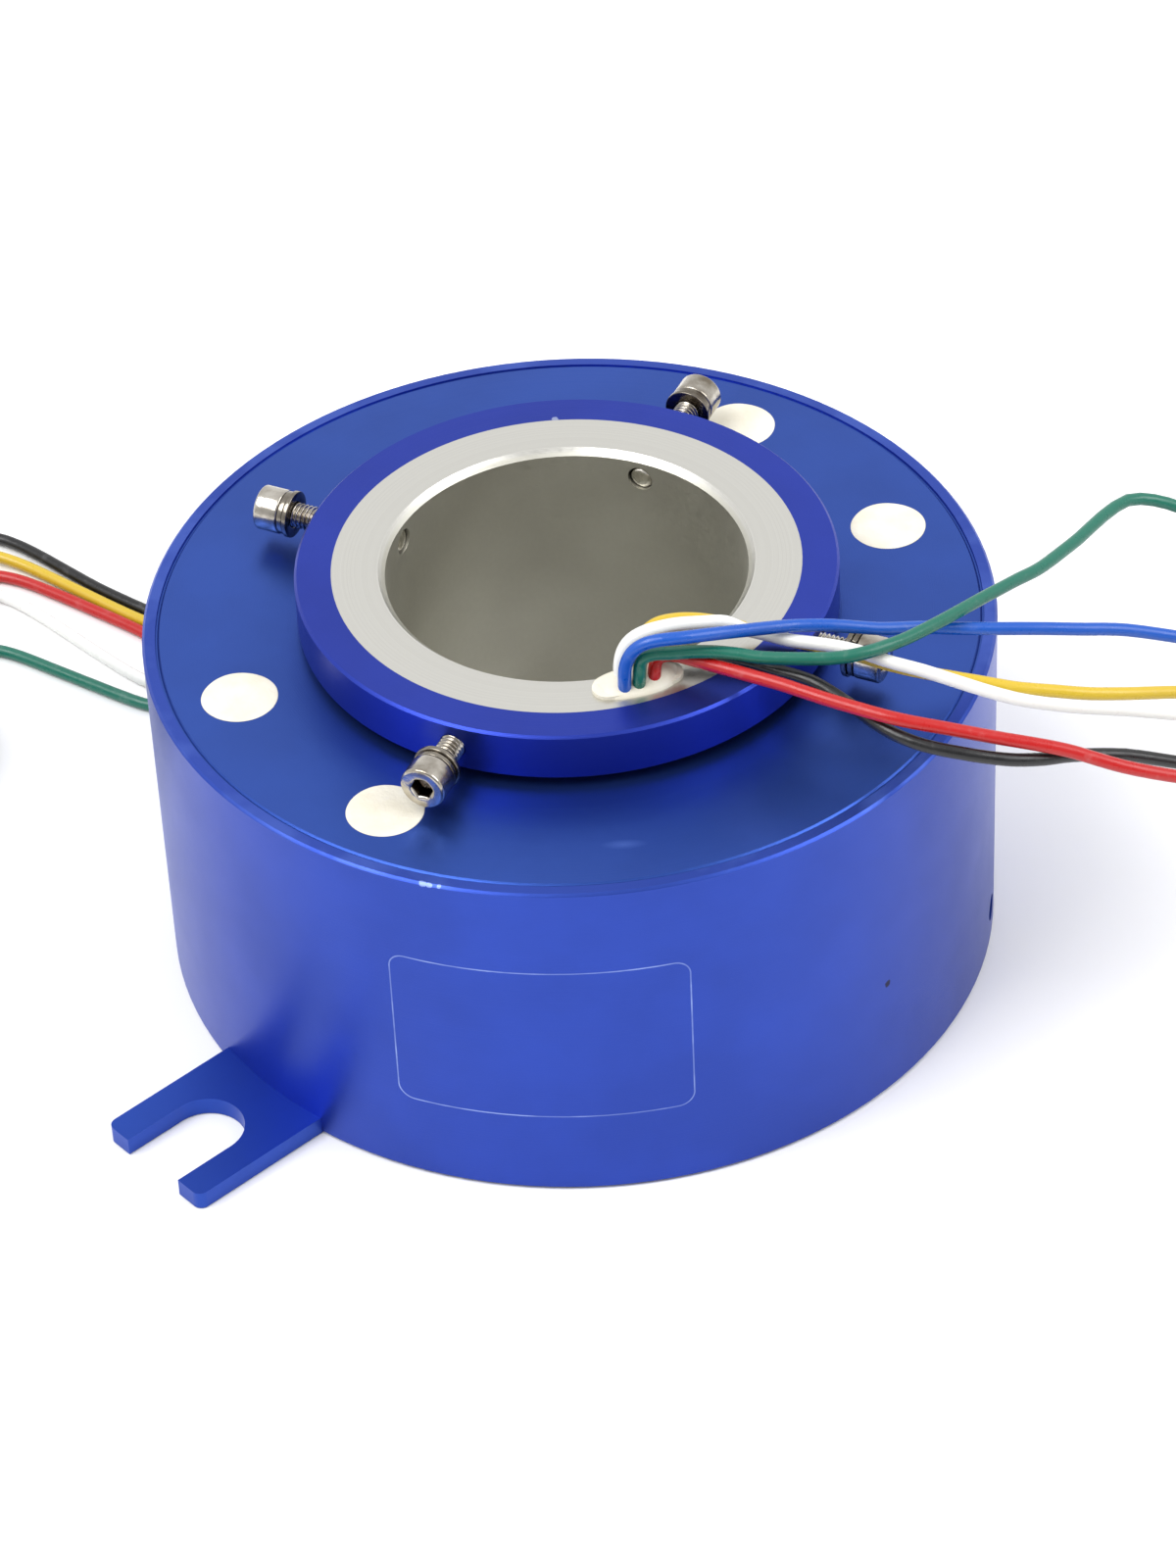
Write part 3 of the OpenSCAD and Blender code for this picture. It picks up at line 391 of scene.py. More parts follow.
def coilTrack(start, spec):
    # clockwise turns: place = centre + radius * (cos, sin)(first angle - turned), and height rises smoothly
    # by one double layer between riseFrom and riseTo degrees of each turn
    centre = np.array(spec["centre"], float)
    angle = math.radians(spec["startAngle"])
    radius = float(np.dot(start[:2] - centre, (math.cos(angle), math.sin(angle))))
    turned = np.arange(0, 1400, math.degrees(leadSpec["step"] / radius))
    share = np.clip((turned % 360 - leadSpec["riseFrom"]) / (leadSpec["riseTo"] - leadSpec["riseFrom"]), 0, 1)
    height = start[2] + leadSpec["layerRise"] * (turned // 360 + share * share * (3 - 2 * share))
    around = angle - np.radians(turned)
    return np.column_stack([centre[0] + radius * np.cos(around), centre[1] + radius * np.sin(around), height])


def spiralTrack(spec, height):
    # radius = first radius - pitch * turns, anticlockwise from straight below the centre
    turned = np.arange(0, 360 * 5, leadSpec["spiralStep"])
    radius = spec["radius"] - spec["pitch"] * turned / 360
    around = np.radians(turned - 90)
    return np.column_stack([
        spec["centre"][0] + radius * np.cos(around), spec["centre"][1] + radius * np.sin(around),
        np.full(len(turned), height),
    ])


def curveThrough(name, points, diameter):
    # a round tube along the points, with closed ends
    data = bpy.data.curves.new(name, "CURVE")
    data.dimensions = "3D"
    data.bevel_depth = diameter / 2
    data.bevel_resolution = 5
    data.use_fill_caps = True
    spline = data.splines.new("POLY")
    spline.points.add(len(points) - 1)
    spline.points.foreach_set("co", np.column_stack([points * mm, np.ones(len(points))]).ravel())
    spline.use_smooth = True
    obj = bpy.data.objects.new(name, data)
    bpy.context.scene.collection.objects.link(obj)
    return obj


def makeLead(name, colour, track, body, replaced):
    whole = cutTo(track, (leadSpec["length"] + leadSpec["tinned"]) / mm)
    covered = cutTo(track, leadSpec["length"] / mm)
    lead = curveThrough(name, covered, leadSpec["diameter"])
    setMaterial(lead, leadMaterials[colour])
    # the stripped end: from the end of the insulation on along the same track
    bare = np.vstack([covered[-1:], whole[len(covered) - 1:]])
    end = curveThrough(name + "_end", bare, leadSpec["tinnedDiameter"])
    setMaterial(end, tinned)
    for obj in (lead, end):
        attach(obj, body)
    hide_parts(*replaced)


tinned = plainMaterial("tinned_strands", leadSpec["tin"])
leadMaterials = {name: leadMaterial(name, leadSpec) for name in leadSpec["colours"]}
for spec in (rotorLeads, statorLeads):
    for colour, route in spec["routes"].items():
        seen = smoothed(route)
        track = np.vstack([seen, coilTrack(seen[-1], spec)])
        node = spec["prefix"] + colour
        makeLead(node + "_cord", colour, track, spec["body"], (node, spec["coil"]))
seen = smoothed(blueLead["route"])
track = np.vstack([seen, spiralTrack(blueLead, seen[-1][2])])
makeLead("stator_lead_blue_cord", "blue", track, "housing", ("stator_lead_blue", "stator_blue_coil"))
print("stage 2: twelve leads")


# clamp screws: radii from the shaft's axis, in millimetres
screwSpec = {
    "angles": (64, 154, 244, 334), "height": 64.5, "tip": 27.7, "seat": 47.7, "end": 51.7,
    "major": 1.975, "minor": 1.62, "pitch": 0.7, "threadTo": 46.2, "head": 3.5, "edge": 0.45,
    "socket": 1.5, "socketDepth": 2.2, "mouth": 1.93, "columns": 60,
    # colours: the bright steel, a darker one that paints dark reflections in patches, painted shade for the socket
    # and a painted highlight for the tip
    "bright": (200, 195, 186), "darkTone": (124, 115, 102), "socketShade": (58, 44, 32), "tipHighlight": (236, 232, 222),
}
# the spring washer is split, and both sit under the screw's head
washerSpec = {
    "spring": {"inner": 2.05, "outer": 3.38, "low": 46.72, "high": 47.68, "split": 11, "lift": 0.1},
    "plain": {"inner": 2.08, "outer": 3.68, "low": 45.92, "high": 46.68},
    # the washers' darker colour also paints dark reflections in patches
    "columns": 72, "bright": (150, 144, 134), "darkTone": (92, 84, 74),
}


def alongRadius(angle, height, along, radius, around):
    # point = height + along * outward + radius * (cos around * up + sin around * sideways)
    turn = math.radians(angle)
    outward = np.array((math.cos(turn), math.sin(turn), 0))
    sideways = np.array((-math.sin(turn), math.cos(turn), 0))
    along, radius, around = np.broadcast_arrays(along, radius, around)
    return (
        np.array((0, 0, height)) + along[..., None] * outward
        + (radius * np.cos(around))[..., None] * np.array((0, 0, 1))
        + (radius * np.sin(around))[..., None] * sideways
    ) * mm


def screwSurface(angle, spec):
    # the profile (along, radius) is turned about the screw's axis
    # shank: radius = major - depth * (1 - ridge), with ridge a triangle wave of along / pitch - around / 360
    # head: straight sides, and an edge that is a quarter of a circle; socket: six flats
    tip, seat, end, head, edge = (spec[key] for key in ("tip", "seat", "end", "head", "edge"))
    around = np.linspace(0, 2 * math.pi, spec["columns"], endpoint=False)
    along = np.arange(tip + 0.35, seat - 0.02, spec["pitch"] / 12)[:, None]
    wave = np.abs(((along / spec["pitch"] - around / (2 * math.pi)) % 1) * 2 - 1)
    ridge = np.clip(1.35 * wave - 0.12, 0, 1)
    fade = np.clip((spec["threadTo"] - along) / 0.7, 0, 1)
    shank = spec["major"] - (spec["major"] - spec["minor"]) * (1 - ridge) * fade
    start = [(tip, 0.02), (tip, 1.2), (tip + 0.12, 1.45)]
    turns = np.linspace(0, math.pi / 2, 7)
    sides = [(seat, 1.95), (seat, 3.1), (seat + 0.05, 3.35), (seat + 0.18, 3.47), (seat + 0.35, head),
             (seat + 1.2, head), (seat + 2.2, head), (end - edge - 0.06, head)]
    sides += list(zip(end - edge + edge * np.sin(turns), head - edge + edge * np.cos(turns)))
    sides += [(end, 2.6), (end, 2.05), (end - 0.02, spec["mouth"])]
    # socket: radius = half width / cos of the angle from the nearest flat's middle, blended in from the mouth
    flats = spec["socket"] / np.cos((around + math.pi / 6) % (math.pi / 3) - math.pi / 6)
    deep = spec["socketDepth"]
    blend = np.array([(0.16, 0.75), (0.3, 1.0), (0.35, 1.0), (deep - 0.05, 1.0), (deep, 0.99)])
    bottom = [(end - deep - 0.25, 0.6), (end - deep - 0.4, 0.02)]
    along = np.concatenate([np.array(start)[:, :1], along, np.array(sides)[:, :1], end - blend[:, :1],
                            np.array(bottom)[:, :1]]) + 0 * around
    radius = np.vstack([
        np.array(start)[:, 1:] + 0 * around, shank, np.array(sides)[:, 1:] + 0 * around,
        (1 - blend[:, 1:]) * spec["mouth"] + blend[:, 1:] * flats, np.array(bottom)[:, 1:] + 0 * around,
    ])
    # each screw has stopped at its own turn
    return alongRadius(angle, spec["height"], along, radius, around + math.radians(angle * 1.7))


def ringSection(spec, edge, inset=0.0):
    # a rectangle with rounded corners, as (radius, along) points round it: corner + edge * (cos turn, sin turn)
    inner, outer = spec["inner"] + edge, spec["outer"] - edge
    low, high = spec["low"] + inset + edge, spec["high"] - inset - edge
    corners = np.array([(outer, high), (inner, high), (inner, low), (outer, low)])[:, None]
    turn = np.radians(np.arange(4)[:, None] * 90 + np.linspace(0, 90, 5))
    return (corners + edge * np.stack([np.cos(turn), np.sin(turn)], axis=-1)).reshape(-1, 2)


def springWasher(angle, height, spec, columns):
    # a rounded section carried round from one side of the split to the other: along = section + lift * turn / 360
    section = ringSection(spec, 0.12, 0.05)
    around = np.radians(np.linspace(spec["split"] / 2, 360 - spec["split"] / 2, columns))[:, None]
    shift = spec["lift"] * (around / math.pi - 1) / 2
    return alongRadius(angle, height, section[:, 1] + shift, section[:, 0], around + math.radians(angle))


def plainWasher(angle, height, spec, columns):
    # a rounded section turned about the screw's axis, whose last row is its first
    section = ringSection(spec, 0.14)
    around = np.linspace(0, 2 * math.pi, columns, endpoint=False)
    section = np.vstack([section, section[:1]])
    return alongRadius(angle, height, section[:, 1:], section[:, :1], around)


def stainlessMaterial(name, piece, spec):
    # bright steel with rougher patches painted darker as painted dark reflections, painted shade in the head's
    # socket and a painted highlight on the rounded tip
    material, tree, shader = startMaterial(name)
    point, radius, angle, height = cylinderPoint(tree)
    patches = noise(tree, point, 260, 3)
    # the patches are painted darker as painted dark reflections, and are rougher too
    dullness = ramp(tree, patches, 0.35, 0.68, 0.0, 1.0)
    colour = mixColour(tree, dullness, linear(piece["bright"]), linear(piece["darkTone"]))
    # distance from the nearest screw's axis: sideways = radius * sin(turn), with turn folded to 0 to 45 degrees
    turned = plus(tree, angle, math.radians(720 - spec["angles"][0]))
    sideways = times(tree, radius, mathNode(tree, "SINE", mathNode(tree, "PINGPONG", turned, math.pi / 4)))
    across = lengthNode(tree, sideways, minus(tree, height, spec["height"] * mm))
    deep = ramp(tree, radius, (spec["end"] - 0.25) * mm, (spec["end"] - 0.5) * mm, 0.0, 1.0)
    inHead = times(tree, deep, ramp(tree, radius, (spec["seat"] + 0.5) * mm, (spec["seat"] + 0.8) * mm, 0.0, 1.0))
    socket = times(tree, inHead, ramp(tree, across, 1.9 * mm, 2.1 * mm, 1.0, 0.0))
    # painted shade: the inside of the head's socket is painted a dark brown
    colour = mixColour(tree, times(tree, socket, 0.85), colour, linear(spec["socketShade"]))
    # painted highlight: the rounded tip in the bore is painted pale
    tip = ramp(tree, radius, (spec["tip"] + 0.25) * mm, (spec["tip"] + 0.4) * mm, 1.0, 0.0)
    colour = mixColour(tree, tip, colour, linear(spec["tipHighlight"]))
    feed(tree, shader.inputs["Base Color"], colour)
    shader.inputs["Metallic"].default_value = 1.0
    feed(tree, shader.inputs["Roughness"], ramp(tree, patches, 0.3, 0.7, 0.13, 0.26))
    bump(tree, shader, noise(tree, point, 1400, 2), 0.00003)
    return material


stainless = stainlessMaterial("stainless", screwSpec, screwSpec)
washerSteel = stainlessMaterial("washer_steel", washerSpec, screwSpec)
for number, angle in enumerate(screwSpec["angles"], 1):
    height, columns = screwSpec["height"], washerSpec["columns"]
    for piece, node, points, caps, material, slot in (
        ("screw", "clamp_screw", screwSurface(angle, screwSpec), True, stainless, "stainless"),
        ("split_washer", "spring_washer", springWasher(angle, height, washerSpec["spring"], columns), True,
         washerSteel, "spring_steel"),
        ("flat_washer", "plain_washer", plainWasher(angle, height, washerSpec["plain"], columns), False,
         washerSteel, "stainless"),
    ):
        name = "%s_%d" % (piece, number)
        obj = link(name, gridMesh(name, points, caps))
        setMaterial(obj, material)
        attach(obj, "clamp_screw_%d" % number)
        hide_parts("%s_%d" % (node, number))
print("stage 3: clamp screws and their washers")


# sealing compound: over the end of the rotor's wire channel and over the four cover screws
sealSpec = {
    "lumpAngle": -71.8, "lumpRadius": 30.9, "halfLength": 6.9, "halfWidth": 3.1,
    "low": 68.4, "top": 68.5, "rise": 1.3, "squareness": 2.6,
    "mounds": ((5.4, -29.7, 0.75, 2.2), (14.2, -28.2, 0.95, 2.3), (11.3, -27.4, 1.2, 2.4), (8.2, -28.2, 0.8, 2.0)),
    "discAngles": (18.5, 57.5, 198.5, 237.5), "discRadius": 52.6, "discSize": 5.7, "discTop": 59.0, "discLow": 56.7,
    "discRise": 0.2, "discUneven": 0.05, "white": (226, 222, 208), "cream": (217, 211, 193), "roughness": 0.55,
}


def ripple(around, seed, strength):
    # 1 + strength * the sum of four cosines of 2 to 5 waves, whose sizes and phases follow from the seed
    waves = np.arange(2, 6)[:, None]
    return 1 + strength * (
        np.sin(seed * 7.3 + waves * 2.1) * np.cos(waves * around + seed * 3.7 + waves * 1.3) / waves
    ).sum(axis=0)


def lumpSurface(spec):
    # over an uneven oval that follows the rotor's face: height = top + rise * sqrt(1 - share^2)
    # + for each mound its rise * exp(-(distance / reach)^2), with share 1 at the edge and 0 in the middle
    around = np.linspace(0, 2 * math.pi, 96, endpoint=False)
    share = np.sin(np.linspace(0, math.pi / 2, 26))[::-1]
    share = np.concatenate([[1.0], share[:-1], [0.001]])[:, None]
    cosine, sine = np.cos(around), np.sin(around)
    power = spec["squareness"]
    outline = (np.abs(cosine) ** power + np.abs(sine) ** power) ** (-1 / power) * ripple(around, 1.0, 0.16)
    length = spec["halfLength"] * outline * cosine * share
    width = spec["halfWidth"] * outline * sine * share
    radius = spec["lumpRadius"] + width
    turn = math.radians(spec["lumpAngle"]) + length / spec["lumpRadius"]
    x, y = radius * np.cos(turn), radius * np.sin(turn)
    height = spec["top"] + spec["rise"] * np.sqrt(np.clip(1 - share ** 2, 0, 1)) + 0 * x
    for moundX, moundY, rise, reach in spec["mounds"]:
        gap = np.hypot(x - moundX, y - moundY)
        height = height + rise * np.exp(-(gap / reach) ** 2) * np.sqrt(1 - share ** 2)
    height[0] = spec["low"]
    return np.stack([x, y, height], axis=-1) * mm


def discSurface(angle, spec, seed):
    # height = top + rise * sqrt(1 - share^2) + uneven * share * cos(2 around); the edge spreads over the cover
    around = np.linspace(0, 2 * math.pi, 72, endpoint=False)
    size, top = spec["discSize"], spec["discTop"]
    edge = size * ripple(around, seed, 0.022) + 0.06
    share = np.sin(np.linspace(0, math.pi / 2, 14))[::-1][1:, None]
    lift = spec["discRise"] * np.sqrt(1 - share ** 2) + spec["discUneven"] * share * np.cos(2 * around + seed)
    wall = np.array([spec["discLow"], top - 0.02, top + 0.01])[:, None] + 0 * around
    height = np.vstack([wall, top + 0.03 + lift])
    inside = size - 0.02 + 0 * around
    radius = np.vstack([inside, inside, edge, np.maximum(share, 0.002) * edge])
    turn = math.radians(angle)
    return np.stack([
        spec["discRadius"] * math.cos(turn) + radius * np.cos(around),
        spec["discRadius"] * math.sin(turn) + radius * np.sin(around), height,
    ], axis=-1) * mm


def compoundMaterial(spec):
    # white resin with a touch of cream, matt, with small pits
    material, tree, shader = startMaterial("sealing_compound")
    point = objectPoint(tree)
    patches = noise(tree, point, 180, 3)
    creamy = ramp(tree, patches, 0.35, 0.65, 0.0, 1.0)
    feed(tree, shader.inputs["Base Color"], mixColour(tree, creamy, linear(spec["white"]), linear(spec["cream"])))
    shader.inputs["Roughness"].default_value = spec["roughness"]
    shader.inputs["Subsurface Weight"].default_value = 0.1
    shader.inputs["Subsurface Radius"].default_value = (0.001, 0.001, 0.0008)
    bump(tree, shader, noise(tree, point, 1100, 4, 0.6), 0.00012)
    return material


compound = compoundMaterial(sealSpec)
lump = link("rotor_sealing", gridMesh("rotor_sealing", lumpSurface(sealSpec), caps=True))
setMaterial(lump, compound)
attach(lump, "rotor")
for number, angle in enumerate(sealSpec["discAngles"], 1):
    name = "screw_seal_%d" % number
    disc = link(name, gridMesh(name, discSurface(angle, sealSpec, number * 1.7), caps=True))
    setMaterial(disc, compound)
    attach(disc, "housing")
    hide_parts("seal_plugs")
print("stage 4: sealing compound")


# blue anodised pieces
blueSpec = {
    "shell": {"colour": (45, 71, 168), "roughness": 0.36, "marks": 0.00003},
    "cover": {"colour": (50, 82, 168), "roughness": 0.34, "marks": 0.00003},
    "collar": {"colour": (44, 63, 166), "roughness": 0.36, "marks": 0.00003},
    "tab": {"colour": (46, 80, 178), "roughness": 0.38, "marks": 0.00001},
    "radius": 65.0, "metallic": 0.9, "coat": 0.06, "coatRoughness": 0.28,
    # frame line of the blank label, in degrees and millimetres
    "labelFrom": -116.4, "labelTo": -76.7, "labelTop": 43.7, "labelLow": 15.0, "corner": 2.5, "line": 0.11,
    "lineColour": (150, 170, 222), "pit": (-46.4, 22), "pitSize": 0.00062, "pitColour": (14, 18, 60),
    # nicks in the shell's rim, with two painted glints at the back of the rim at 96 and 99 degrees, as angle and
    # size
    "nicksAndGlints": ((-110.8, 0.0006), (-109.9, 0.0005), (-108.6, 0.0004), (96.0, 0.0005), (99.0, 0.0004)),
    # pale blue of the nicks and of the two painted glints, and a paler blue for the painted highlight along the top
    # of the rim
    "nickAndGlintColour": (150, 170, 224), "rimHighlightColour": (92, 122, 214),
    "smudge": (0.0062, -0.0545, 0.059), "smudgeReach": (0.0035, 0.0011, 0.002), "smudgeColour": (100, 134, 220),
    "collarNick": (91, 68.5, 35.9), "collarNickSize": 0.0005, "collarNickColour": (190, 200, 225),
}


def turningMarks(tree, radius, height, scale):
    # fine rings left by the lathe: noise that varies only with radius and height
    across = joined(tree, times(tree, radius, scale), times(tree, height, scale), 0.0)
    return noise(tree, across, 1.0, 3, 0.7)


def blueMaterial(piece, spec):
    # clouded blue on metal, fine rings and a thin dull coat
    material, tree, shader = startMaterial(piece + "_blue")
    point, radius, angle, height = cylinderPoint(tree)
    clouds = noise(tree, point, 45, 4, 0.55)
    colour, roughness = spec[piece]["colour"], spec[piece]["roughness"]
    base = mixColour(tree, ramp(tree, clouds, 0.35, 0.65, 0.0, 1.0), linear(colour), linear(colour, 0.94))
    shader.inputs["Metallic"].default_value = spec["metallic"]
    shader.inputs["Coat Weight"].default_value = spec["coat"]
    shader.inputs["Coat Roughness"].default_value = spec["coatRoughness"]
    feed(tree, shader.inputs["Roughness"], ramp(tree, clouds, 0.3, 0.7, roughness - 0.03, roughness + 0.04))
    bump(tree, shader, turningMarks(tree, radius, height, 6000), spec[piece]["marks"])
    return material, tree, shader, base, (point, radius, angle, height)


def spot(tree, point, place, size):
    # 1 inside a small round patch with an uneven edge, 0 outside
    node = tree.nodes.new("ShaderNodeVectorMath")
    node.operation = "DISTANCE"
    feed(tree, node.inputs[0], point)
    node.inputs[1].default_value = place
    ragged = times(tree, minus(tree, noise(tree, point, 1500, 2), 0.5), size * 1.2)
    return ramp(tree, plus(tree, node.outputs["Value"], ragged), size * 0.85, size, 1.0, 0.0)


def softSpot(tree, point, place, reach):
    # 1 at place, falling evenly to 0 at the edge of an ellipsoid of the given reach
    offsets = [mathNode(tree, "DIVIDE", minus(tree, value, middle), size)
               for value, middle, size in zip(split(tree, point), place, reach)]
    return ramp(tree, lengthNode(tree, lengthNode(tree, *offsets[:2]), offsets[2]), 0.0, 1.0, 1.0, 0.0)


def onCylinder(angle, height, radius):
    # the point in metres at an angle in degrees, and a height and radius in millimetres
    turn = math.radians(angle)
    return (radius * math.cos(turn) * mm, radius * math.sin(turn) * mm, height * mm)


def labelLine(tree, angle, height, spec):
    # distance from the line of a rounded rectangle round the shell: |length(max(q, 0)) + min(max(q), 0) - corner|,
    # with q = |place - middle| - half size + corner, in millimetres sideways and upwards
    middle = math.radians((spec["labelFrom"] + spec["labelTo"]) / 2)
    halfWide = math.radians(spec["labelTo"] - spec["labelFrom"]) / 2 * spec["radius"]
    halfHigh = (spec["labelTop"] - spec["labelLow"]) / 2
    centre = (spec["labelTop"] + spec["labelLow"]) / 2
    sideways = mathNode(tree, "ABSOLUTE", times(tree, minus(tree, angle, middle), spec["radius"]))
    upwards = mathNode(tree, "ABSOLUTE", minus(tree, times(tree, height, 1 / mm), centre))
    pastSide = minus(tree, sideways, halfWide - spec["corner"])
    pastTop = minus(tree, upwards, halfHigh - spec["corner"])
    outside = lengthNode(tree, mathNode(tree, "MAXIMUM", pastSide, 0.0), mathNode(tree, "MAXIMUM", pastTop, 0.0))
    inside = mathNode(tree, "MINIMUM", mathNode(tree, "MAXIMUM", pastSide, pastTop), 0.0)
    away = mathNode(tree, "ABSOLUTE", minus(tree, plus(tree, outside, inside), spec["corner"]))
    return ramp(tree, away, spec["line"] * 0.6, spec["line"] * 1.3, 1.0, 0.0)


def shellMaterial(spec):
    # worn frame line of the blank label, one pit, a painted highlight in patches along the top of the rim, and nicks
    # in the rim with two painted glints among them
    material, tree, shader, base, (point, radius, angle, height) = blueMaterial("shell", spec)
    line = times(tree, labelLine(tree, angle, height, spec), mathNode(tree, "GREATER_THAN", radius, 0.0645))
    worn = ramp(tree, noise(tree, point, 160, 3), 0.4, 0.62, 0.35, 0.8)
    colour = mixColour(tree, times(tree, line, worn), base, linear(spec["lineColour"]))
    pit = spot(tree, point, onCylinder(*spec["pit"], spec["radius"]), spec["pitSize"])
    colour = mixColour(tree, pit, colour, linear(spec["pitColour"]))
    # painted highlight: the top of the rim is painted a paler blue, in patches
    patchy = ramp(tree, noise(tree, point, 90, 3), 0.5, 0.62, 0.25, 1.0)
    rimHighlight = times(tree, ramp(tree, height, 0.0585, 0.0588, 0.0, 0.5), patchy)
    colour = mixColour(tree, times(tree, rimHighlight, 0.7), colour, linear(spec["rimHighlightColour"]))
    # nicks in the rim, and two painted glints at its back, painted a pale blue
    nicksAndGlintsMask = 0.0
    for markAngle, size in spec["nicksAndGlints"]:
        nick = spot(tree, point, onCylinder(markAngle, 58.9, 64.9), size)
        nicksAndGlintsMask = mathNode(tree, "MAXIMUM", nicksAndGlintsMask, nick)
    colour = mixColour(tree, times(tree, nicksAndGlintsMask, 0.55), colour, linear(spec["nickAndGlintColour"]))
    feed(tree, shader.inputs["Base Color"], colour)
    return material


def coverMaterial(spec):
    # one soft pale smudge
    material, tree, shader, base, (point, *_) = blueMaterial("cover", spec)
    smudge = times(tree, softSpot(tree, point, spec["smudge"], spec["smudgeReach"]), 0.4)
    feed(tree, shader.inputs["Base Color"], mixColour(tree, smudge, base, linear(spec["smudgeColour"])))
    return material


def collarMaterial(spec):
    # one nick in the inner edge
    material, tree, shader, base, (point, *_) = blueMaterial("collar", spec)
    nick = times(tree, spot(tree, point, onCylinder(*spec["collarNick"]), spec["collarNickSize"]), 0.6)
    feed(tree, shader.inputs["Base Color"], mixColour(tree, nick, base, linear(spec["collarNickColour"])))
    return material


def tabMaterial(spec):
    material, tree, shader, base, _ = blueMaterial("tab", spec)
    feed(tree, shader.inputs["Base Color"], base)
    return material


# bare aluminium of the rotor tube and the posts
aluminiumSpec = {
    # the darker bore colour is painted shade, laid in broad patches over the bore and, out to boreWithin, over the
    # lower part of its chamfer
    "bright": (212, 211, 205), "darkTone": (198, 196, 190), "boreBright": (212, 211, 202), "boreShade": (190, 188, 178),
    "boreWithin": (0.02785, 0.02815), "ringScale": 5000, "grain": 0.000015,
}


def turnedAluminium(spec):
    # bare turned faces with fine rings and a soft grain; the bore is duller, with broad faint patches of painted
    # shade, which reach over the lower part of the bore's chamfer
    material, tree, shader = startMaterial("bare_aluminium")
    point, radius, angle, height = cylinderPoint(tree)
    marks = turningMarks(tree, radius, height, spec["ringScale"])
    speckle = noise(tree, point, 1300, 3)
    inBore = ramp(tree, radius, *spec["boreWithin"], 1.0, 0.0)
    ringed = ramp(tree, marks, 0.35, 0.7, 0.0, 0.6)
    face = mixColour(tree, ringed, linear(spec["bright"]), linear(spec["darkTone"]))
    # painted shade: broad patches darken the bore and the lower part of its chamfer
    paintedBoreShade = ramp(tree, noise(tree, point, 30, 2), 0.35, 0.65, 0.0, 1.0)
    bore = mixColour(tree, paintedBoreShade, linear(spec["boreBright"]), linear(spec["boreShade"]))
    feed(tree, shader.inputs["Base Color"], mixColour(tree, inBore, face, bore))
    shader.inputs["Metallic"].default_value = 1.0
    dullness = plus(tree, speckle, times(tree, inBore, 0.5))
    feed(tree, shader.inputs["Roughness"], ramp(tree, dullness, 0.3, 1.1, 0.3, 0.5))
    bump(tree, shader, plus(tree, marks, speckle), spec["grain"])
    return material


# finishes of the pieces inside and of the small screws
plainSpec = {
    "bearing_steel": {"colour": (188, 188, 186), "metallic": 1.0, "roughness": 0.22, "grain": 0.00001, "scale": 700},
    "cage_brass": {"colour": (196, 160, 92), "metallic": 1.0, "roughness": 0.36, "grain": 0.00002, "scale": 700},
    "silver_alloy": {"colour": (216, 206, 172), "metallic": 1.0, "roughness": 0.28, "grain": 0.00002, "scale": 900},
    "sleeve_plastic": {"colour": (44, 46, 48), "metallic": 0.0, "roughness": 0.5, "grain": 0.00003, "scale": 700},
    "block_laminate": {"colour": (96, 112, 52), "metallic": 0.0, "roughness": 0.6, "grain": 0.00006, "scale": 500},
    "black_steel": {"colour": (44, 44, 46), "metallic": 0.8, "roughness": 0.4, "grain": 0.00003, "scale": 900},
}

shell, cover = shellMaterial(blueSpec), coverMaterial(blueSpec)
aluminium = turnedAluminium(aluminiumSpec)
plain = {name: plainMaterial(name, spec) for name, spec in plainSpec.items()}
finishes = {
    "housing_shell": shell, "bottom_cover": shell, "top_cover": cover,
    "anti_rotation_tab": tabMaterial(blueSpec), "clamp_collar": collarMaterial(blueSpec),
    "rotor_tube": aluminium, "brush_posts": aluminium,
    "rotor_potting": compound, "outlet_potting": compound,
    "tab_screws": stainless, "post_screws": stainless,
    "shell_screws": plain["black_steel"], "retaining_ring": plain["black_steel"],
    "brush_blocks": plain["block_laminate"], "brush_wires": plain["silver_alloy"],
    "ring_sleeve": plain["sleeve_plastic"], "ring_spacers": plain["sleeve_plastic"],
    "upper_cage": plain["cage_brass"], "lower_cage": plain["cage_brass"],
}
for name in nodes:
    if name.startswith("slip_ring_"):
        finishes[name] = plain["silver_alloy"]
    elif name.endswith(("_race", "_balls")):
        finishes[name] = plain["bearing_steel"]
for name, material in finishes.items():
    setMaterial(nodes[name], material)

# the seam between the shell and the upper cover is filled level with the foot of the cover's chamfer
seamSpec = {"inner": 62.62, "outer": 63.03, "low": 57.8, "high": 58.68, "edge": 0.08, "columns": 288}


def seamSurface(spec):
    # point = (radius cos around, radius sin around, height), where (radius, height) runs round a rounded section
    section = ringSection(spec, spec["edge"])
    radius, height = np.hsplit(np.vstack([section, section[:1]]), 2)
    around = np.linspace(0, 2 * math.pi, spec["columns"], endpoint=False)
    return np.stack(np.broadcast_arrays(radius * np.cos(around), radius * np.sin(around), height), axis=-1) * mm


seam = link("cover_seam", gridMesh("cover_seam", seamSurface(seamSpec)))
setMaterial(seam, cover)
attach(seam, "housing")
print("stage 5: finishes of the CAD pieces")


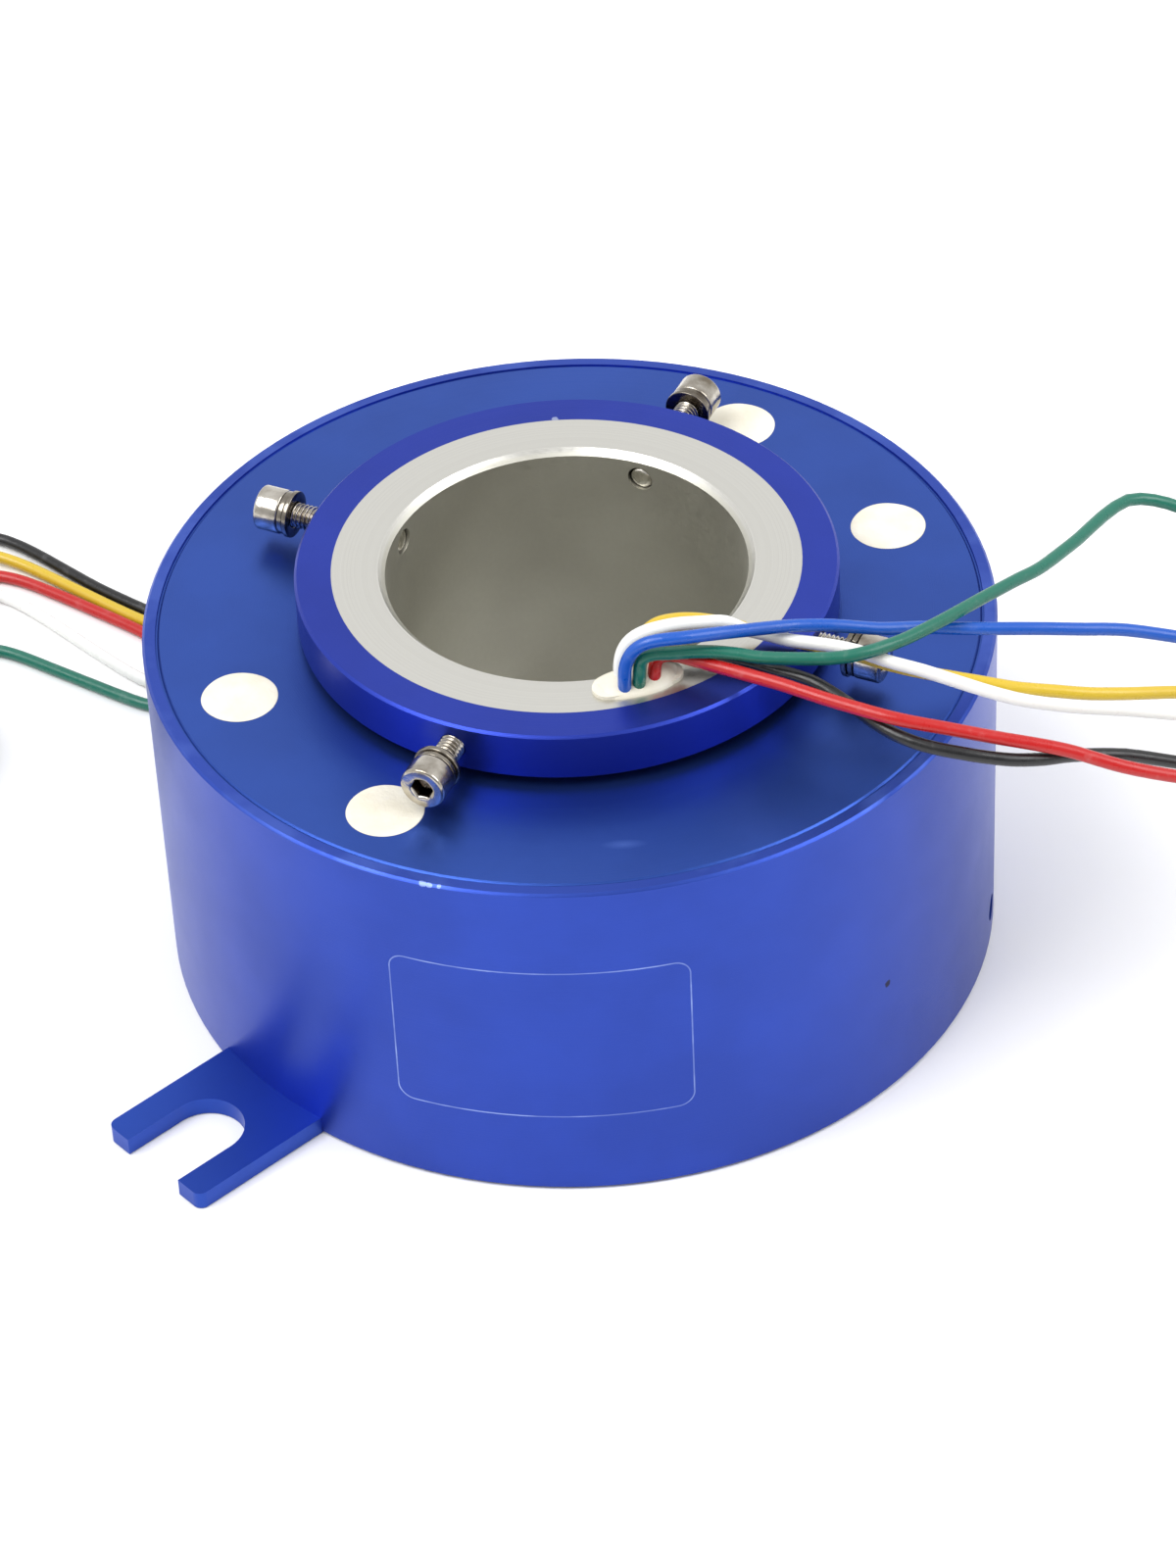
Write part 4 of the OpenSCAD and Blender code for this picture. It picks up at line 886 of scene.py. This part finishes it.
# floor and light; the room is dimmer on the camera's side, between the given values of y, and above the floor
floorSpec = {"half": 6, "below": 0.0002, "colour": (0.88, 0.88, 0.88, 1), "roughness": 0.9, "specular": 0.1}
roomSpec = {"strength": 1.02, "dim": 0.4, "dimY": (-0.85, -0.35), "dimZ": (0.0, 0.2)}
lightSpec = {
    "key": {"place": (-0.9, -0.5, 1.6), "target": (0, 0, 0.03), "size": 1.2, "power": 26},
    "fill": {"place": (1.2, -0.3, 1.2), "target": (0, 0, 0.03), "size": 1.0, "power": 12},
}


def makeFloor(spec):
    half, below = spec["half"], -spec["below"]
    mesh = bpy.data.meshes.new("floor")
    corners = [(-half, -half, below), (half, -half, below), (half, half, below), (-half, half, below)]
    mesh.from_pydata(corners, [], [(0, 1, 2, 3)])
    floor = link("floor", mesh)
    material, _, shader = startMaterial("floor")
    shader.inputs["Base Color"].default_value = spec["colour"]
    shader.inputs["Roughness"].default_value = spec["roughness"]
    shader.inputs["Specular IOR Level"].default_value = spec["specular"]
    setMaterial(floor, material)


def makeRoom(spec):
    # strength falls from strength to dim with the share of the camera's side
    world = bpy.data.worlds.new("world")
    world.use_nodes = True
    tree = world.node_tree
    background = tree.nodes["Background"]
    background.inputs["Color"].default_value = (1, 1, 1, 1)
    _, y, z = split(tree, tree.nodes.new("ShaderNodeTexCoord").outputs["Generated"])
    cameraSide = times(tree, ramp(tree, y, *spec["dimY"], 1.0, 0.0), ramp(tree, z, *spec["dimZ"], 0.0, 1.0))
    feed(tree, background.inputs["Strength"], ramp(tree, cameraSide, 0.0, 1.0, spec["strength"], spec["dim"]))
    bpy.context.scene.world = world


def areaLight(name, spec):
    data = bpy.data.lights.new(name, "AREA")
    data.shape = "RECTANGLE"
    data.size = data.size_y = spec["size"]
    data.energy = spec["power"]
    light = bpy.data.objects.new(name, data)
    light.location = spec["place"]
    aim = Vector(spec["target"]) - Vector(spec["place"])
    light.rotation_euler = aim.to_track_quat("-Z", "Y").to_euler()
    bpy.context.scene.collection.objects.link(light)


makeFloor(floorSpec)
makeRoom(roomSpec)
for name, spec in lightSpec.items():
    areaLight(name, spec)
bpy.context.scene.view_settings.view_transform = "Standard"
print("stage 6: floor and light")
